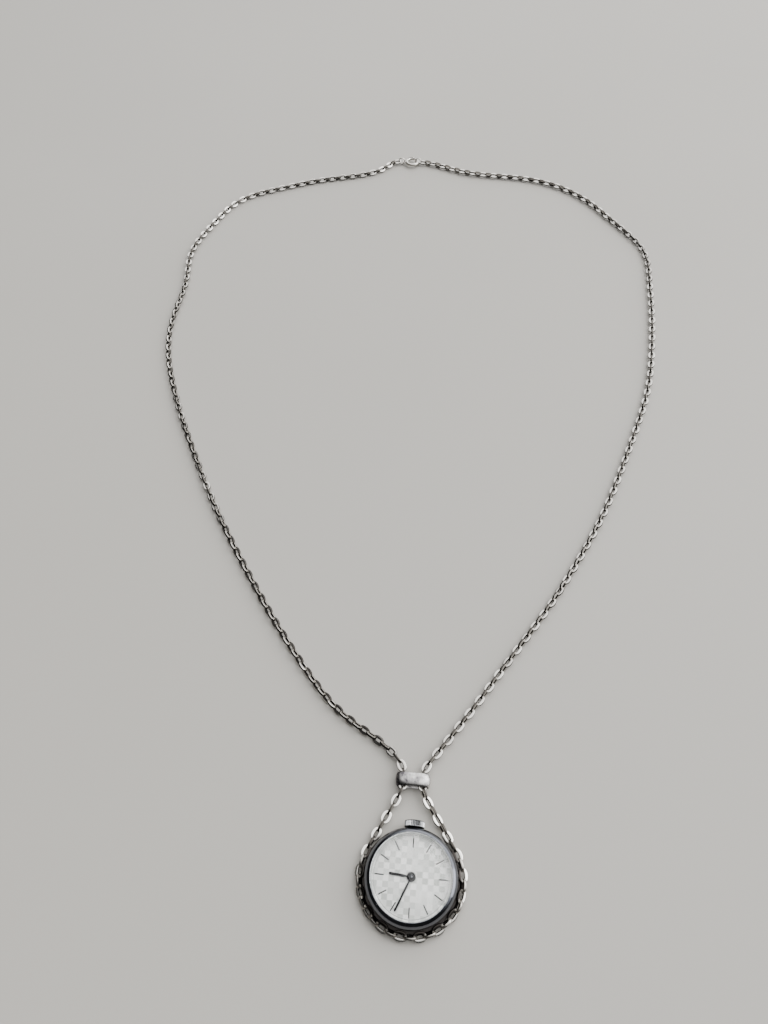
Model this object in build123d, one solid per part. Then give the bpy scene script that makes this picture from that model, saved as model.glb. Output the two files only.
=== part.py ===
from build123d import *
import math
import os

# A round pendant watch on a long cable chain, laid dial up on a flat surface.
# Millimetres. +Z is up through the crystal and +Y runs from the centre to the crown.
# The origin is the centre of the case back, on the surface that the watch lies on.

# Fits
press_fit = 0.02
running_fit = 0.05
free_gap = 0.1
overrun = 1.0
same_point = 0.00001

# Movement, from the back to the dial
movement_radius = 8.6
back_room = 0.3
ratchet_thickness = 0.25
bridge_thickness = 0.35
train_room = 1.1
plate_thickness = 1.15
pocket_depth = 0.6
movement_ring_low = 1.05
movement_ring_width = 2.5
arbor_radius = 0.12
pivot_depth = 0.25
wheel_thickness = 0.14
cannon_leaf = 0.21
post_radius = 0.5
post_inset = 1.1
screw_head_radius = 0.42
screw_head_height = 0.2
screw_shank_radius = 0.22
screw_shank_length = 0.8

# Radii of the case, each from the one inside it
case_bore = movement_radius + movement_ring_width
back_seat_wall = 0.6
neck_wall = 0.7
waist_wall = 1.0
shoulder_step = 0.3
bezel_step = 0.1
flange_step = 0.8
crystal_overlap = 0.15
dial_play = 0.1
back_lip_radius = case_bore + back_seat_wall
neck_radius = case_bore + neck_wall
waist_radius = case_bore + waist_wall
shoulder_radius = waist_radius + shoulder_step
bezel_radius = shoulder_radius + bezel_step
flange_radius = shoulder_radius + flange_step
crystal_radius = case_bore + crystal_overlap
dial_radius = case_bore - dial_play

# Flats round a turned piece: many on the case, few on what is small
case_sides = 40
movement_sides = 24
pocket_sides = 12
wheel_sides = 16
pipe_sides = 8
arbor_sides = 6

# Case back
flange_height = 0.9
flange_bevel = 0.3
back_floor = 0.4
back_lip_wall = 0.5
back_lip_height = 0.8
crown_notch = 0.3
gasket_height = 0.16

# Case middle
waist_height = 1.45
shoulder_height = 3.6
neck_height = 0.72

# Bezel and crystal
bezel_land = 0.45
bezel_lip = 0.35
crystal_rim = 1.2
crystal_rise = 2.1
crystal_wall = 0.8
crystal_steps = 4
crystal_inner_steps = 2

# Dial and the ring round it
hours = 12
dial_thickness = 0.25
dial_foot_radius = 0.3
dial_foot_length = 0.5
dial_foot_spread = 7.0
dial_foot_angles = (25, 200)
dial_ring_height = 0.85
dial_ring_width = 0.5
marker_inset = 1.2
marker_length = 2.5
marker_width = 0.16
marker_height = 0.08

# Hands
hand_thickness = 0.13
hour_hand_length = 6.0
hour_hand_width = 0.46
hour_hand_angle = 94.5
minute_hand_length = 9.3
minute_hand_width = 0.38
minute_hand_angle = 24.0
hand_hub_radius = 1.05
hand_room = 0.18
pipe_end = 0.12

# Bridges: the angles of their posts round the movement and of their outlines, and shares of their sizes
barrel_post_angles = (62, 186)
train_post_angles = (-4, -74)
cock_post_angle = 205
barrel_bridge_span = (52, 196)
train_bridge_span = (-80, 2)
bridge_step = 16
barrel_bridge_corner = (0.12, -0.09)
train_bridge_corner = (0.2, -0.1)
cock_width_share = 2.4
cock_end_share = 1.8

# Going train: teeth, modules and the directions in which each wheel lies from the one before it
barrel_teeth = 48
centre_pinion_teeth = 8
centre_teeth = 48
third_pinion_teeth = 6
third_teeth = 45
fourth_pinion_teeth = 6
fourth_teeth = 60
escape_pinion_teeth = 6
escape_teeth = 15
barrel_module = 0.15
centre_module = 0.12
third_module = 0.107
fourth_module = 0.07
barrel_angle = 150
third_angle = -20
fourth_angle = -101
escape_angle = 215
tip_share = 0.35
root_share = 0.85
escape_radius = 1.3
escape_root = 0.93
escape_rake = 5
pallet_distance = 1.65
pallet_spread = 30
pallet_angle = 200
balance_distance = 2.0
balance_angle = 160

# Barrel
drum_radius = 3.2
drum_wall = 0.2
drum_height = 0.36
barrel_floor = 0.18
barrel_arbor_radius = 0.5
spring_turns = 3
spring_strip = 0.12
spring_steps = 8

# Balance
balance_radius = 2.6
balance_rim = 0.35
balance_height = 0.18
balance_arm = 0.4
roller_radius = 0.4
hairspring_radius = 1.4
hairspring_collet = 0.3
hairspring_strip = 0.06
hairspring_height = 0.08
hairspring_turns = 3
fork_width = 0.24
pallet_stone = 0.22
pallet_bridge_thickness = 0.08
pallet_bridge_shares = [(-0.017, -0.86), (0.029, -0.384)]

# Motion work under the dial
cannon_teeth = 8
minute_wheel_teeth = 24
minute_pinion_teeth = 8
hour_wheel_teeth = 32
setting_wheel_teeth = 12
motion_module = 0.1275
minute_wheel_angle = 60
setting_wheel_angle = 128
centre_arbor_radius = 0.15
pipe_wall = 0.15

# Winding work
crown_wheel_teeth = 18
ratchet_teeth = 30
ratchet_module = 0.184
crown_wheel_sleeve = 1.2
crown_wheel_neck = 0.65
winding_teeth = 10
winding_radius = 0.6
winding_pinion_length = 0.8
winding_pinion_place = 5.5
sliding_pinion_length = 0.65
stem_radius = 0.3
stem_groove_radius = 0.18
stem_groove_length = 0.4
stem_groove_place = 7.3
lever_thickness = 0.12
lever_width = 0.5
lever_reach = 1.9
lever_pin_radius = 0.15
lever_pin_length = 0.4
click_length = 0.9
click_width = 0.3
click_angle = 200
click_turn = 12

# Crown
crown_radius = 2.75
crown_length = 1.75
crown_flutes = 24
flute_depth = 0.2
crown_height = 2.85
crown_gap = 0.15
crown_travel = 0.6
clutch_travel = 0.3
crown_bore = 0.95
crown_bore_depth = 1.1
crown_gasket_wall = 0.25
crown_gasket_width = 0.5
tube_radius = 0.57
tube_wall = 0.17

# Chain: flat-sided oval links, every second one turned a quarter turn
link_length = 3.7
link_width = 2.6
link_wire = 0.5
link_thickness = 0.52
link_pitch = 2.59
chain_lift = 0.05
chain_overhang = 0.85
drop_share = 0.2

# Slider that draws the two strands together above the crown
slider_place = (-1.25, 25.6)
slider_width = 10.0
slider_height = 4.3
slider_length = 3.6
slider_wall = 0.5
slider_crown = 0.2
slider_flat_share = 0.2
slider_sides = 6
strand_offset = 2.6
waist_bend = 9.0
left_waist_turn = 46
right_waist_turn = 36
lift_place = 0.5
slider_ramp = 14.0

# Spring ring clasp at the far end of the chain
clasp_radius = 2.75
clasp_tube = 0.75
clasp_bore = 0.45
clasp_height = 1.5
clasp_gap_angle = 50
clasp_mouth_turn = 20
clasp_sides = 11
lug_length = 1.1
lug_bar = 0.3
lug_hole_width = 0.8
lug_width = 2.0
lug_thickness = 0.6
jump_ring_radius = 1.7
jump_ring_wire = 0.5
end_ring_radius = 1.75
end_ring_wire = 0.5
ring_slack = 0.25
thumb_width = 0.5
thumb_angle = 12
thumb_turn = 90
thumb_top = 2.7
slot_sides = 4
clasp_travel = 40
mouth_clearance = 1
halvings = 40

# The route of the chain on the table, as shares of the reach from the watch to the clasp
necklace_reach = 329.2
clasp_share = (-0.0687, 1.0)
first_fold_share = 0.385
second_fold_share = 0.663
left_route_shares = [
    (-0.068, 0.129), (-0.115, 0.175), (-0.156, 0.227), (-0.194, 0.281), (-0.230, 0.336), (-0.263, 0.393),
    (-0.294, 0.451), (-0.322, 0.510), (-0.345, 0.572), (-0.3545, 0.637), (-0.3535, 0.702), (-0.3600, 0.767),
    (-0.343, 0.831), (-0.315, 0.887), (-0.260, 0.921), (-0.200, 0.946), (-0.137, 0.965), (-0.110, 0.982),
]
right_route_shares = [
    (0.0456, 0.145), (0.0817, 0.200), (0.1176, 0.255), (0.150, 0.312), (0.179, 0.371), (0.203, 0.432),
    (0.225, 0.494), (0.244, 0.556), (0.255, 0.621), (0.2615, 0.686), (0.265, 0.752), (0.2615, 0.816),
    (0.2275, 0.872), (0.188, 0.924), (0.134, 0.960), (0.071, 0.972), (0.006, 0.981),
]

# Quarter turns aside, how far the links of each stretch are rolled about the chain, in degrees
case_roll = [(0, 0), (0.22, 0), (0.35, 18), (0.65, 18), (0.78, 0), (1, 0)]
left_roll = [(0, 0), (0.25, 20), (0.5, 10), (0.7, 0), (1, 0)]
right_roll = [(0, 0), (0.2, 25), (0.55, 15), (0.7, 40), (0.9, 45), (1, 0)]


def skin(rings, closed):
    """A solid whose faces join each ring of points to the next, open ends being capped"""
    following = rings[1:] + (rings[:1] if closed else [])
    faces = [] if closed else [Face(Wire.make_polygon(ring)) for ring in (rings[0], rings[-1])]
    for here, there in zip(rings, following):
        for i in range(len(here)):
            j = (i + 1) % len(here)
            corners = []
            for point in (here[i], here[j], there[j], there[i]):
                if all((point - corner).length > same_point for corner in corners):
                    corners.append(point)
            if len(corners) > 2:
                faces.append(Face(Wire.make_polygon(corners)))
    return Solid(Shell(faces))


def turned(outline, sides, first=0, last=360):
    """A (radius, height) outline carried round the upright axis, with flat sides"""
    closed = last - first == 360
    stops = range(sides) if closed else range(sides + 1)
    turns = [math.radians(first + (last - first) * stop / sides) for stop in stops]
    rings = [[Vector(r * math.cos(a), r * math.sin(a), z) for r, z in outline] for a in turns]
    return skin(rings, closed)


def prism(sides, radius, low, high, place=(0, 0), turn=0):
    """An upright bar with its corners on the radius"""
    section = Pos(*place) * RegularPolygon(radius, sides, rotation=turn)
    return Pos(0, 0, low) * extrude(section, high - low)


def along_y(shape):
    """Lays an upright piece along +Y at the height of the stem"""
    return Pos(0, 0, crown_height) * Rot(-90, 0, 0) * shape


def slab(sketch, low, high):
    return Pos(0, 0, low) * extrude(sketch, high - low)


def polar(distance, angle, start=(0, 0)):
    turn = math.radians(angle)
    return (start[0] + distance * math.cos(turn), start[1] + distance * math.sin(turn))


def bar(start, end, width, reach=0):
    """A flat straight strip from start to end, longer by reach at both ends"""
    length = math.dist(start, end)
    middle = ((start[0] + end[0]) / 2, (start[1] + end[1]) / 2)
    angle = math.degrees(math.atan2(end[1] - start[1], end[0] - start[0]))
    return Pos(*middle) * Rot(0, 0, angle) * Rectangle(length + 2 * reach, width)


def facing(start, end):
    return math.degrees(math.atan2(end[1] - start[1], end[0] - start[0]))


def mesh_distance(module, teeth, others):
    return module * (teeth + others) / 2


def toothed(teeth, module, turn):
    """A flat wheel whose pointed teeth leave play in the mesh; one tooth points along turn"""
    tip = module * (teeth / 2 + tip_share)
    root = module * (teeth / 2 - root_share)
    corners = []
    for i in range(teeth):
        angle = turn + 360 * i / teeth
        corners += [polar(tip, angle), polar(root, angle + 180 / teeth)]
    return make_face(Polyline(*corners, close=True))


def gap_towards(start, end, teeth):
    """The turn that puts a gap between two teeth on the line from start to end"""
    return facing(start, end) + 180 / teeth


# Heights that follow from the pieces
ratchet_low = back_floor + back_room
ratchet_top = ratchet_low + ratchet_thickness
bridge_low = ratchet_top + running_fit
bridge_top = bridge_low + bridge_thickness
plate_low = bridge_top + train_room
plate_top = plate_low + plate_thickness
pocket_low = plate_top - pocket_depth
dial_low = plate_top + press_fit
dial_top = dial_low + dial_thickness
marker_outer = dial_radius - marker_inset
marker_inner = marker_outer - marker_length
dial_ring_inner = dial_radius - dial_ring_width
chain_circle = flange_radius + chain_overhang
post_circle = movement_radius - post_inset
dial_ring_low = dial_top + press_fit
dial_ring_top = dial_ring_low + dial_ring_height
crystal_low = dial_ring_top + press_fit
bezel_top = crystal_low + crystal_rim
neck_top = shoulder_height + neck_height
hour_hand_low = dial_top + hand_room
minute_hand_low = hour_hand_low + hand_thickness + hand_room

crown_start = bezel_radius + crown_gap
crown_end = crown_start + crown_length
sliding_pinion_start = winding_pinion_place - free_gap - sliding_pinion_length
tube_turn = 180 / pipe_sides

# Places of the arbors in plan
centre_at = (0, 0)
barrel_at = polar(mesh_distance(barrel_module, barrel_teeth, centre_pinion_teeth), barrel_angle)
third_at = polar(mesh_distance(centre_module, centre_teeth, third_pinion_teeth), third_angle)
fourth_at = polar(mesh_distance(third_module, third_teeth, fourth_pinion_teeth), fourth_angle, third_at)
escape_at = polar(mesh_distance(fourth_module, fourth_teeth, escape_pinion_teeth), escape_angle, fourth_at)
pallet_at = polar(pallet_distance, pallet_angle, escape_at)
balance_at = polar(balance_distance, balance_angle, pallet_at)
motion_distance = mesh_distance(motion_module, cannon_teeth, minute_wheel_teeth)
hour_module = 2 * motion_distance / (minute_pinion_teeth + hour_wheel_teeth)
minute_wheel_at = polar(motion_distance, minute_wheel_angle)
setting_distance = mesh_distance(motion_module, minute_wheel_teeth, setting_wheel_teeth)
setting_wheel_at = polar(setting_distance, setting_wheel_angle, minute_wheel_at)
crown_wheel_distance = mesh_distance(ratchet_module, ratchet_teeth, crown_wheel_teeth)
crown_wheel_at = (0, barrel_at[1] + math.sqrt(crown_wheel_distance ** 2 - barrel_at[0] ** 2))
lever_at = (lever_reach, stem_groove_place)

# Heights of the train, from the bridges up to the main plate
low_wheel = bridge_top + free_gap
middle_wheel = low_wheel + 2 * wheel_thickness
drum_top = low_wheel + barrel_floor + drum_height
high_wheel = drum_top + free_gap
escape_low = plate_low - free_gap - 2 * wheel_thickness
balance_low = low_wheel + 2 * hairspring_height + free_gap
bearing_radius = (arbor_radius + running_fit) / math.cos(math.radians(180 / arbor_sides))
cannon_bore = (centre_arbor_radius + running_fit / 2) / math.cos(math.radians(180 / pipe_sides))
cannon_radius = cannon_bore + pipe_wall
hour_pipe_bore = (cannon_radius + running_fit / 2) / math.cos(math.radians(180 / pipe_sides))
hour_pipe_radius = hour_pipe_bore + pipe_wall

# Posts that carry the bridges, as angles round the movement
barrel_bridge_posts = [polar(post_circle, angle) for angle in barrel_post_angles]
train_bridge_posts = [polar(post_circle, angle) for angle in train_post_angles]
cock_post = polar(post_circle, cock_post_angle)
pallet_bridge_posts = [(x * movement_radius, y * movement_radius) for x, y in pallet_bridge_shares]


def case_back():
    """Snap-on back with the flange that the chain lies over"""
    lip_top = flange_height + back_lip_height
    lip_bore = back_lip_radius - back_lip_wall
    outline = [
        (0, 0), (flange_radius - flange_bevel, 0), (flange_radius, flange_bevel),
        (flange_radius, flange_height), (back_lip_radius, flange_height), (back_lip_radius, lip_top),
        (lip_bore, lip_top), (lip_bore, back_floor), (0, back_floor),
    ]
    notch = 2 * (crown_radius + crown_notch)
    cut = Pos(0, crown_start - crown_gap, -overrun) * Box(
        notch, flange_radius, flange_height + 2 * overrun, align=(Align.CENTER, Align.MIN, Align.MIN))
    return (turned(outline, case_sides) - cut).solid()


def case_back_gasket():
    low = flange_height + back_lip_height + press_fit
    inner = back_lip_radius - back_lip_wall + running_fit
    outer = back_lip_radius - running_fit
    high = low + gasket_height
    return turned([(inner, low), (outer, low), (outer, high), (inner, high)], wheel_sides)


def case_middle():
    """The band: a waist that the chain lies round, a step for the back and a neck for the bezel"""
    low = flange_height + press_fit
    step = flange_height + back_lip_height + gasket_height + 2 * press_fit
    seat = back_lip_radius + press_fit
    outline = [
        (seat, low), (shoulder_radius, low), (waist_radius, waist_height),
        (shoulder_radius, shoulder_height), (neck_radius, shoulder_height), (neck_radius, neck_top),
        (case_bore, neck_top), (case_bore, step), (seat, step),
    ]
    hole = prism(pipe_sides, tube_radius + press_fit, 0, bezel_radius + overrun, turn=tube_turn)
    return turned(outline, case_sides) - along_y(hole)


def bezel():
    """Polished ring that slopes up to the crystal and snaps over the neck"""
    low = shoulder_height + press_fit
    bore = crystal_radius + press_fit
    seat = neck_radius + press_fit
    step = neck_top + press_fit
    outline = [
        (seat, low), (bezel_radius, low), (bezel_radius, low + bezel_land), (bore + bezel_lip, bezel_top),
        (bore, bezel_top), (bore, step), (seat, step),
    ]
    return turned(outline, case_sides)


def dome(radius, rise, low, steps):
    """Points of a shallow dome, from its rim to its top"""
    sphere = (radius ** 2 + rise ** 2) / (2 * rise)
    half = math.asin(radius / sphere)
    turns = [half * (1 - step / steps) for step in range(steps + 1)]
    return [(sphere * math.sin(turn), low + rise - sphere * (1 - math.cos(turn))) for turn in turns]


def crystal():
    """Domed crystal with a straight rim"""
    bore = crystal_radius - crystal_wall
    outer = dome(crystal_radius, crystal_rise, bezel_top, crystal_steps)
    inner = dome(bore, crystal_rise - crystal_wall / 2, bezel_top - crystal_wall / 2, crystal_inner_steps)
    foot = [(bore, crystal_low), (crystal_radius, crystal_low)]
    return turned(foot + outer + inner[::-1], case_sides)


def dial_ring():
    """Sloping ring between the dial and the crystal"""
    outline = [
        (dial_ring_inner, dial_ring_low), (dial_radius, dial_ring_low), (dial_radius, dial_ring_top),
        (dial_radius - running_fit * 2, dial_ring_top),
    ]
    return turned(outline, case_sides)


def foot_places():
    return [polar(dial_foot_spread, angle) for angle in dial_foot_angles]


def dial():
    """Plain disc on two feet, with the hole for the hands"""
    disc = prism(case_sides, dial_radius, dial_low, dial_top)
    for place in foot_places():
        disc += prism(arbor_sides, dial_foot_radius, dial_low - dial_foot_length, dial_low, place)
    hole = hour_pipe_radius + free_gap
    return disc - prism(pipe_sides, hole, dial_low - overrun, dial_top + overrun)


def dial_direction(angle):
    """Unit step for an angle clockwise from twelve, which lies towards -Y"""
    turn = math.radians(angle)
    return (-math.sin(turn), -math.cos(turn))


def hour_markers():
    """Twelve thin bars applied to the dial"""
    bars = []
    for hour in range(hours):
        x, y = dial_direction(360 * hour / hours)
        inner = (x * marker_inner, y * marker_inner)
        outer = (x * marker_outer, y * marker_outer)
        bars.append(slab(bar(inner, outer, marker_width), dial_top, dial_top + marker_height).solid())
    return Compound(bars)


def hand(length, width, angle, bore, low):
    """Straight bar from a round hub"""
    x, y = dial_direction(angle)
    sketch = bar((0, 0), (x * length, y * length), width) + RegularPolygon(hand_hub_radius, pipe_sides)
    sketch -= RegularPolygon(bore + press_fit, pipe_sides)
    return slab(sketch, low, low + hand_thickness)


def hour_hand():
    return hand(hour_hand_length, hour_hand_width, hour_hand_angle, hour_pipe_radius, hour_hand_low)


def minute_hand():
    return hand(minute_hand_length, minute_hand_width, minute_hand_angle, cannon_radius, minute_hand_low)


def movement_ring():
    """Spacer between the movement and the case, with a hole for the stem"""
    outer = case_bore - running_fit
    inner = movement_radius + running_fit
    low, high = movement_ring_low, plate_top
    outline = [(inner, low), (outer, low), (outer, high), (inner, high)]
    hole = prism(pipe_sides, tube_radius + running_fit, 0, bezel_radius, turn=tube_turn)
    return turned(outline, movement_sides) - along_y(hole)


def bearing(place, low, high):
    return prism(arbor_sides, bearing_radius, low, high, place)


def main_plate():
    """Disc that carries the train on its back and the motion work in pockets under the dial"""
    plate = prism(movement_sides, movement_radius, plate_low, plate_top)
    pockets = [
        (centre_at, hour_module * (hour_wheel_teeth / 2 + 1) + free_gap),
        (minute_wheel_at, motion_module * (minute_wheel_teeth / 2 + 1) + free_gap),
        (setting_wheel_at, motion_module * (setting_wheel_teeth / 2 + 1) + free_gap),
    ]
    for place, radius in pockets:
        plate -= prism(pocket_sides, radius, pocket_low, plate_top + overrun, place)
    works_start = sliding_pinion_start - clutch_travel - 3 * free_gap
    works_end = winding_pinion_place + winding_pinion_length + free_gap
    works_width = 2 * winding_radius + 3 * free_gap
    channel = 2 * stem_radius + 2 * free_gap
    plate -= Pos(0, (works_start + works_end) / 2, plate_low) * Box(
        works_width, works_end - works_start, 2 * plate_thickness + overrun)
    channel_low = crown_height - stem_radius - free_gap
    plate -= Pos(0, movement_radius, channel_low) * Box(
        channel, 2 * (movement_radius - works_start), plate_top - channel_low + overrun,
        align=(Align.CENTER, Align.CENTER, Align.MIN))
    lever_low = plate_top - free_gap - lever_thickness - running_fit
    plate -= Pos(lever_reach / 2, stem_groove_place + crown_travel / 2, lever_low) * Box(
        lever_reach + 2 * lever_width, crown_travel + 2 * lever_width, pocket_depth,
        align=(Align.CENTER, Align.CENTER, Align.MIN))
    plate -= prism(arbor_sides, lever_pin_radius + running_fit, lever_low - lever_pin_length - free_gap,
                   plate_top, lever_at)
    for place in (third_at, fourth_at, escape_at, pallet_at, balance_at):
        plate -= bearing(place, plate_low - overrun, plate_low + pivot_depth + running_fit)
    centre_hole = (centre_arbor_radius + running_fit) / math.cos(math.radians(180 / arbor_sides))
    plate -= prism(arbor_sides, centre_hole, plate_low - overrun, plate_top)
    for place in foot_places():
        plate -= prism(arbor_sides, dial_foot_radius + press_fit, dial_low - dial_foot_length - free_gap,
                       plate_top + overrun, place)
    return plate.solid()


def bridge(outline, posts, bearings, holes):
    """A flat bridge on posts that stand on the main plate, screwed through the posts"""
    body = slab(outline, bridge_low, bridge_top)
    for place in posts:
        body += prism(arbor_sides, post_radius, bridge_low, plate_low - press_fit, place)
    for place in posts:
        body -= prism(arbor_sides, screw_shank_radius + press_fit, bridge_low - overrun,
                      bridge_low + screw_shank_length + press_fit, place)
    for place in bearings:
        body -= bearing(place, bridge_low - overrun, bridge_top + overrun)
    for place, radius in holes:
        body -= prism(pipe_sides, radius, bridge_low - overrun, bridge_top + overrun, place)
    return body.solid()


def fan(span, radius, inner_share):
    """A flat sector between two angles, with an inner corner"""
    first, last = span
    count = round((last - first) / bridge_step)
    corners = [polar(radius, first + (last - first) * i / count) for i in range(count + 1)]
    return make_face(Polyline(*corners, tuple(radius * share for share in inner_share), close=True))


def barrel_bridge():
    edge = movement_radius - 2 * free_gap
    outline = fan(barrel_bridge_span, edge, barrel_bridge_corner)
    centre_hole = (centre_arbor_radius + running_fit) / math.cos(math.radians(180 / pipe_sides))
    arbor_hole = (barrel_arbor_radius + running_fit) / math.cos(math.radians(180 / pipe_sides))
    sleeve_hole = (crown_wheel_neck + running_fit) / math.cos(math.radians(180 / pipe_sides))
    holes = [(centre_at, centre_hole), (barrel_at, arbor_hole), (crown_wheel_at, sleeve_hole)]
    return bridge(outline, barrel_bridge_posts, [], holes)


def train_bridge():
    edge = movement_radius - 2 * free_gap
    outline = fan(train_bridge_span, edge, train_bridge_corner)
    outline += bar(escape_at, train_bridge_posts[1], 2 * post_radius, post_radius)
    return bridge(outline, train_bridge_posts, [third_at, fourth_at, escape_at], [])


def balance_cock():
    outline = bar(cock_post, balance_at, cock_width_share * post_radius, post_radius)
    outline += Pos(*balance_at) * RegularPolygon(cock_end_share * post_radius, pipe_sides)
    return bridge(outline, [cock_post], [balance_at], [])


def pallet_bridge():
    """Thin bar under the pallet fork"""
    low = escape_low - running_fit - pallet_bridge_thickness
    sketch = bar(pallet_bridge_posts[0], pallet_at, post_radius, post_radius / 2)
    sketch += bar(pallet_bridge_posts[1], pallet_at, post_radius, post_radius / 2)
    body = slab(sketch, low, low + pallet_bridge_thickness)
    for place in pallet_bridge_posts:
        body += prism(arbor_sides, post_radius / 2, low, plate_low - press_fit, place)
    return (body - bearing(pallet_at, low - overrun, low + overrun)).solid()


def bridge_screws():
    """One screw for each bridge post"""
    screws = []
    for place in barrel_bridge_posts + train_bridge_posts + [cock_post]:
        screw = prism(arbor_sides, screw_head_radius, bridge_low - press_fit - screw_head_height,
                      bridge_low - press_fit, place)
        screw += prism(arbor_sides, screw_shank_radius, bridge_low - press_fit,
                       bridge_low + screw_shank_length, place)
        screws.append(screw.solid())
    return Compound(screws)


def arbor(place, low, high, radius=arbor_radius):
    return prism(arbor_sides, radius, low, high, place)


def mainspring_barrel():
    """Toothed floor and drum wall"""
    turn = gap_towards(barrel_at, centre_at, barrel_teeth)
    floor = Pos(*barrel_at) * toothed(barrel_teeth, barrel_module, turn)
    body = slab(floor, low_wheel, low_wheel + barrel_floor)
    wall = Pos(*barrel_at) * (
        RegularPolygon(drum_radius, wheel_sides) - RegularPolygon(drum_radius - drum_wall, wheel_sides))
    body += slab(wall, low_wheel + barrel_floor, drum_top - barrel_floor / 2)
    bore = (barrel_arbor_radius + running_fit) / math.cos(math.radians(180 / pipe_sides))
    return (body - prism(pipe_sides, bore, low_wheel - overrun, drum_top, barrel_at)).solid()


def barrel_cover():
    low = drum_top - barrel_floor / 2 + press_fit
    bore = (barrel_arbor_radius + running_fit) / math.cos(math.radians(180 / pipe_sides))
    disc = RegularPolygon(drum_radius, wheel_sides) - RegularPolygon(bore, pipe_sides)
    return slab(Pos(*barrel_at) * disc, low, drum_top)


def spiral(place, inner, outer, turns, strip, steps, low, high):
    """A flat strip wound in a spiral of straight runs"""
    count = turns * steps
    grow = (outer - strip - inner) / count
    inside = [polar(inner + grow * i, 360 * i / steps, place) for i in range(count + 1)]
    outside = [polar(inner + grow * i + strip, 360 * i / steps, place) for i in range(count + 1)]
    return slab(make_face(Polyline(*inside, *outside[::-1], close=True)), low, high)


def mainspring():
    inner = barrel_arbor_radius + free_gap
    outer = drum_radius - drum_wall - free_gap
    return spiral(barrel_at, inner, outer, spring_turns, spring_strip, spring_steps,
                  low_wheel + barrel_floor + press_fit, drum_top - barrel_floor)


def barrel_arbor():
    """Runs from the ratchet wheel, through the barrel, to the main plate"""
    return prism(pipe_sides, barrel_arbor_radius, ratchet_low, plate_low - press_fit, barrel_at)


def ratchet_wheel():
    turn = facing(barrel_at, crown_wheel_at)
    wheel = Pos(*barrel_at) * (
        toothed(ratchet_teeth, ratchet_module, turn)
        - RegularPolygon(barrel_arbor_radius + press_fit, pipe_sides))
    return slab(wheel, ratchet_low, ratchet_top)


def crown_wheel():
    """Flat wheel outside the bridge, joined by a neck to the face under the winding pinion"""
    turn = gap_towards(crown_wheel_at, barrel_at, crown_wheel_teeth)
    flat = toothed(crown_wheel_teeth, ratchet_module, turn)
    neck = RegularPolygon(crown_wheel_neck, pipe_sides)
    face = RegularPolygon(crown_wheel_sleeve, pipe_sides)
    face_top = crown_height - winding_radius - running_fit
    face_low = drum_top + running_fit
    body = slab(Pos(*crown_wheel_at) * flat, ratchet_low, ratchet_top)
    body += slab(Pos(*crown_wheel_at) * neck, ratchet_top, face_low)
    return (body + slab(Pos(*crown_wheel_at) * face, face_low, face_top)).solid()


def click_places():
    """The click's pivot, and its beak by the teeth of the ratchet wheel"""
    rim = ratchet_module * (ratchet_teeth / 2 + tip_share)
    pivot = polar(rim + click_length, click_angle, barrel_at)
    return pivot, polar(rim + running_fit, click_angle - click_turn, barrel_at)


def click():
    pivot, beak = click_places()
    sketch = bar(pivot, beak, click_width) + Pos(*pivot) * RegularPolygon(click_width, arbor_sides)
    sketch -= Pos(*barrel_at) * Circle(ratchet_module * (ratchet_teeth / 2 + tip_share) + running_fit)
    return slab(sketch, ratchet_low, ratchet_top)


def click_spring():
    pivot, beak = click_places()
    away = facing(barrel_at, pivot)
    start = polar(click_width + free_gap, away + 90, pivot)
    end = polar(2 * click_length, away + 90, start)
    return slab(bar(start, end, spring_strip), ratchet_low, ratchet_top)


def centre_wheel():
    """Wheel, pinion and the long arbor that carries the cannon pinion"""
    body = slab(toothed(centre_teeth, centre_module, facing(centre_at, third_at)),
                high_wheel, high_wheel + wheel_thickness)
    pinion = toothed(centre_pinion_teeth, barrel_module, facing(centre_at, barrel_at))
    body += slab(pinion, low_wheel, high_wheel)
    body += arbor(centre_at, bridge_low, minute_hand_low + hand_thickness, centre_arbor_radius)
    return body.solid()


def third_wheel():
    body = slab(Pos(*third_at) * toothed(third_teeth, third_module, facing(third_at, fourth_at)),
                low_wheel, low_wheel + wheel_thickness)
    turn = gap_towards(third_at, centre_at, third_pinion_teeth)
    body += slab(Pos(*third_at) * toothed(third_pinion_teeth, centre_module, turn),
                 high_wheel - running_fit, high_wheel + wheel_thickness + running_fit)
    return (body + arbor(third_at, bridge_low, plate_low + pivot_depth)).solid()


def fourth_wheel():
    body = slab(Pos(*fourth_at) * toothed(fourth_teeth, fourth_module, facing(fourth_at, escape_at)),
                middle_wheel, middle_wheel + wheel_thickness)
    turn = gap_towards(fourth_at, third_at, fourth_pinion_teeth)
    body += slab(Pos(*fourth_at) * toothed(fourth_pinion_teeth, third_module, turn),
                 low_wheel - running_fit, middle_wheel)
    return (body + arbor(fourth_at, bridge_low, plate_low + pivot_depth)).solid()


def escape_wheel():
    """Fifteen raked teeth"""
    corners = []
    for tooth in range(escape_teeth):
        angle = pallet_angle + 360 * (tooth + 0.5) / escape_teeth
        corners += [polar(escape_radius, angle), polar(escape_root, angle + escape_rake)]
    wheel = Pos(*escape_at) * make_face(Polyline(*corners, close=True))
    body = slab(wheel, escape_low, escape_low + wheel_thickness)
    turn = gap_towards(escape_at, fourth_at, escape_pinion_teeth)
    body += slab(Pos(*escape_at) * toothed(escape_pinion_teeth, fourth_module, turn),
                 middle_wheel - running_fit, escape_low)
    return (body + arbor(escape_at, bridge_low, plate_low + pivot_depth)).solid()


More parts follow.
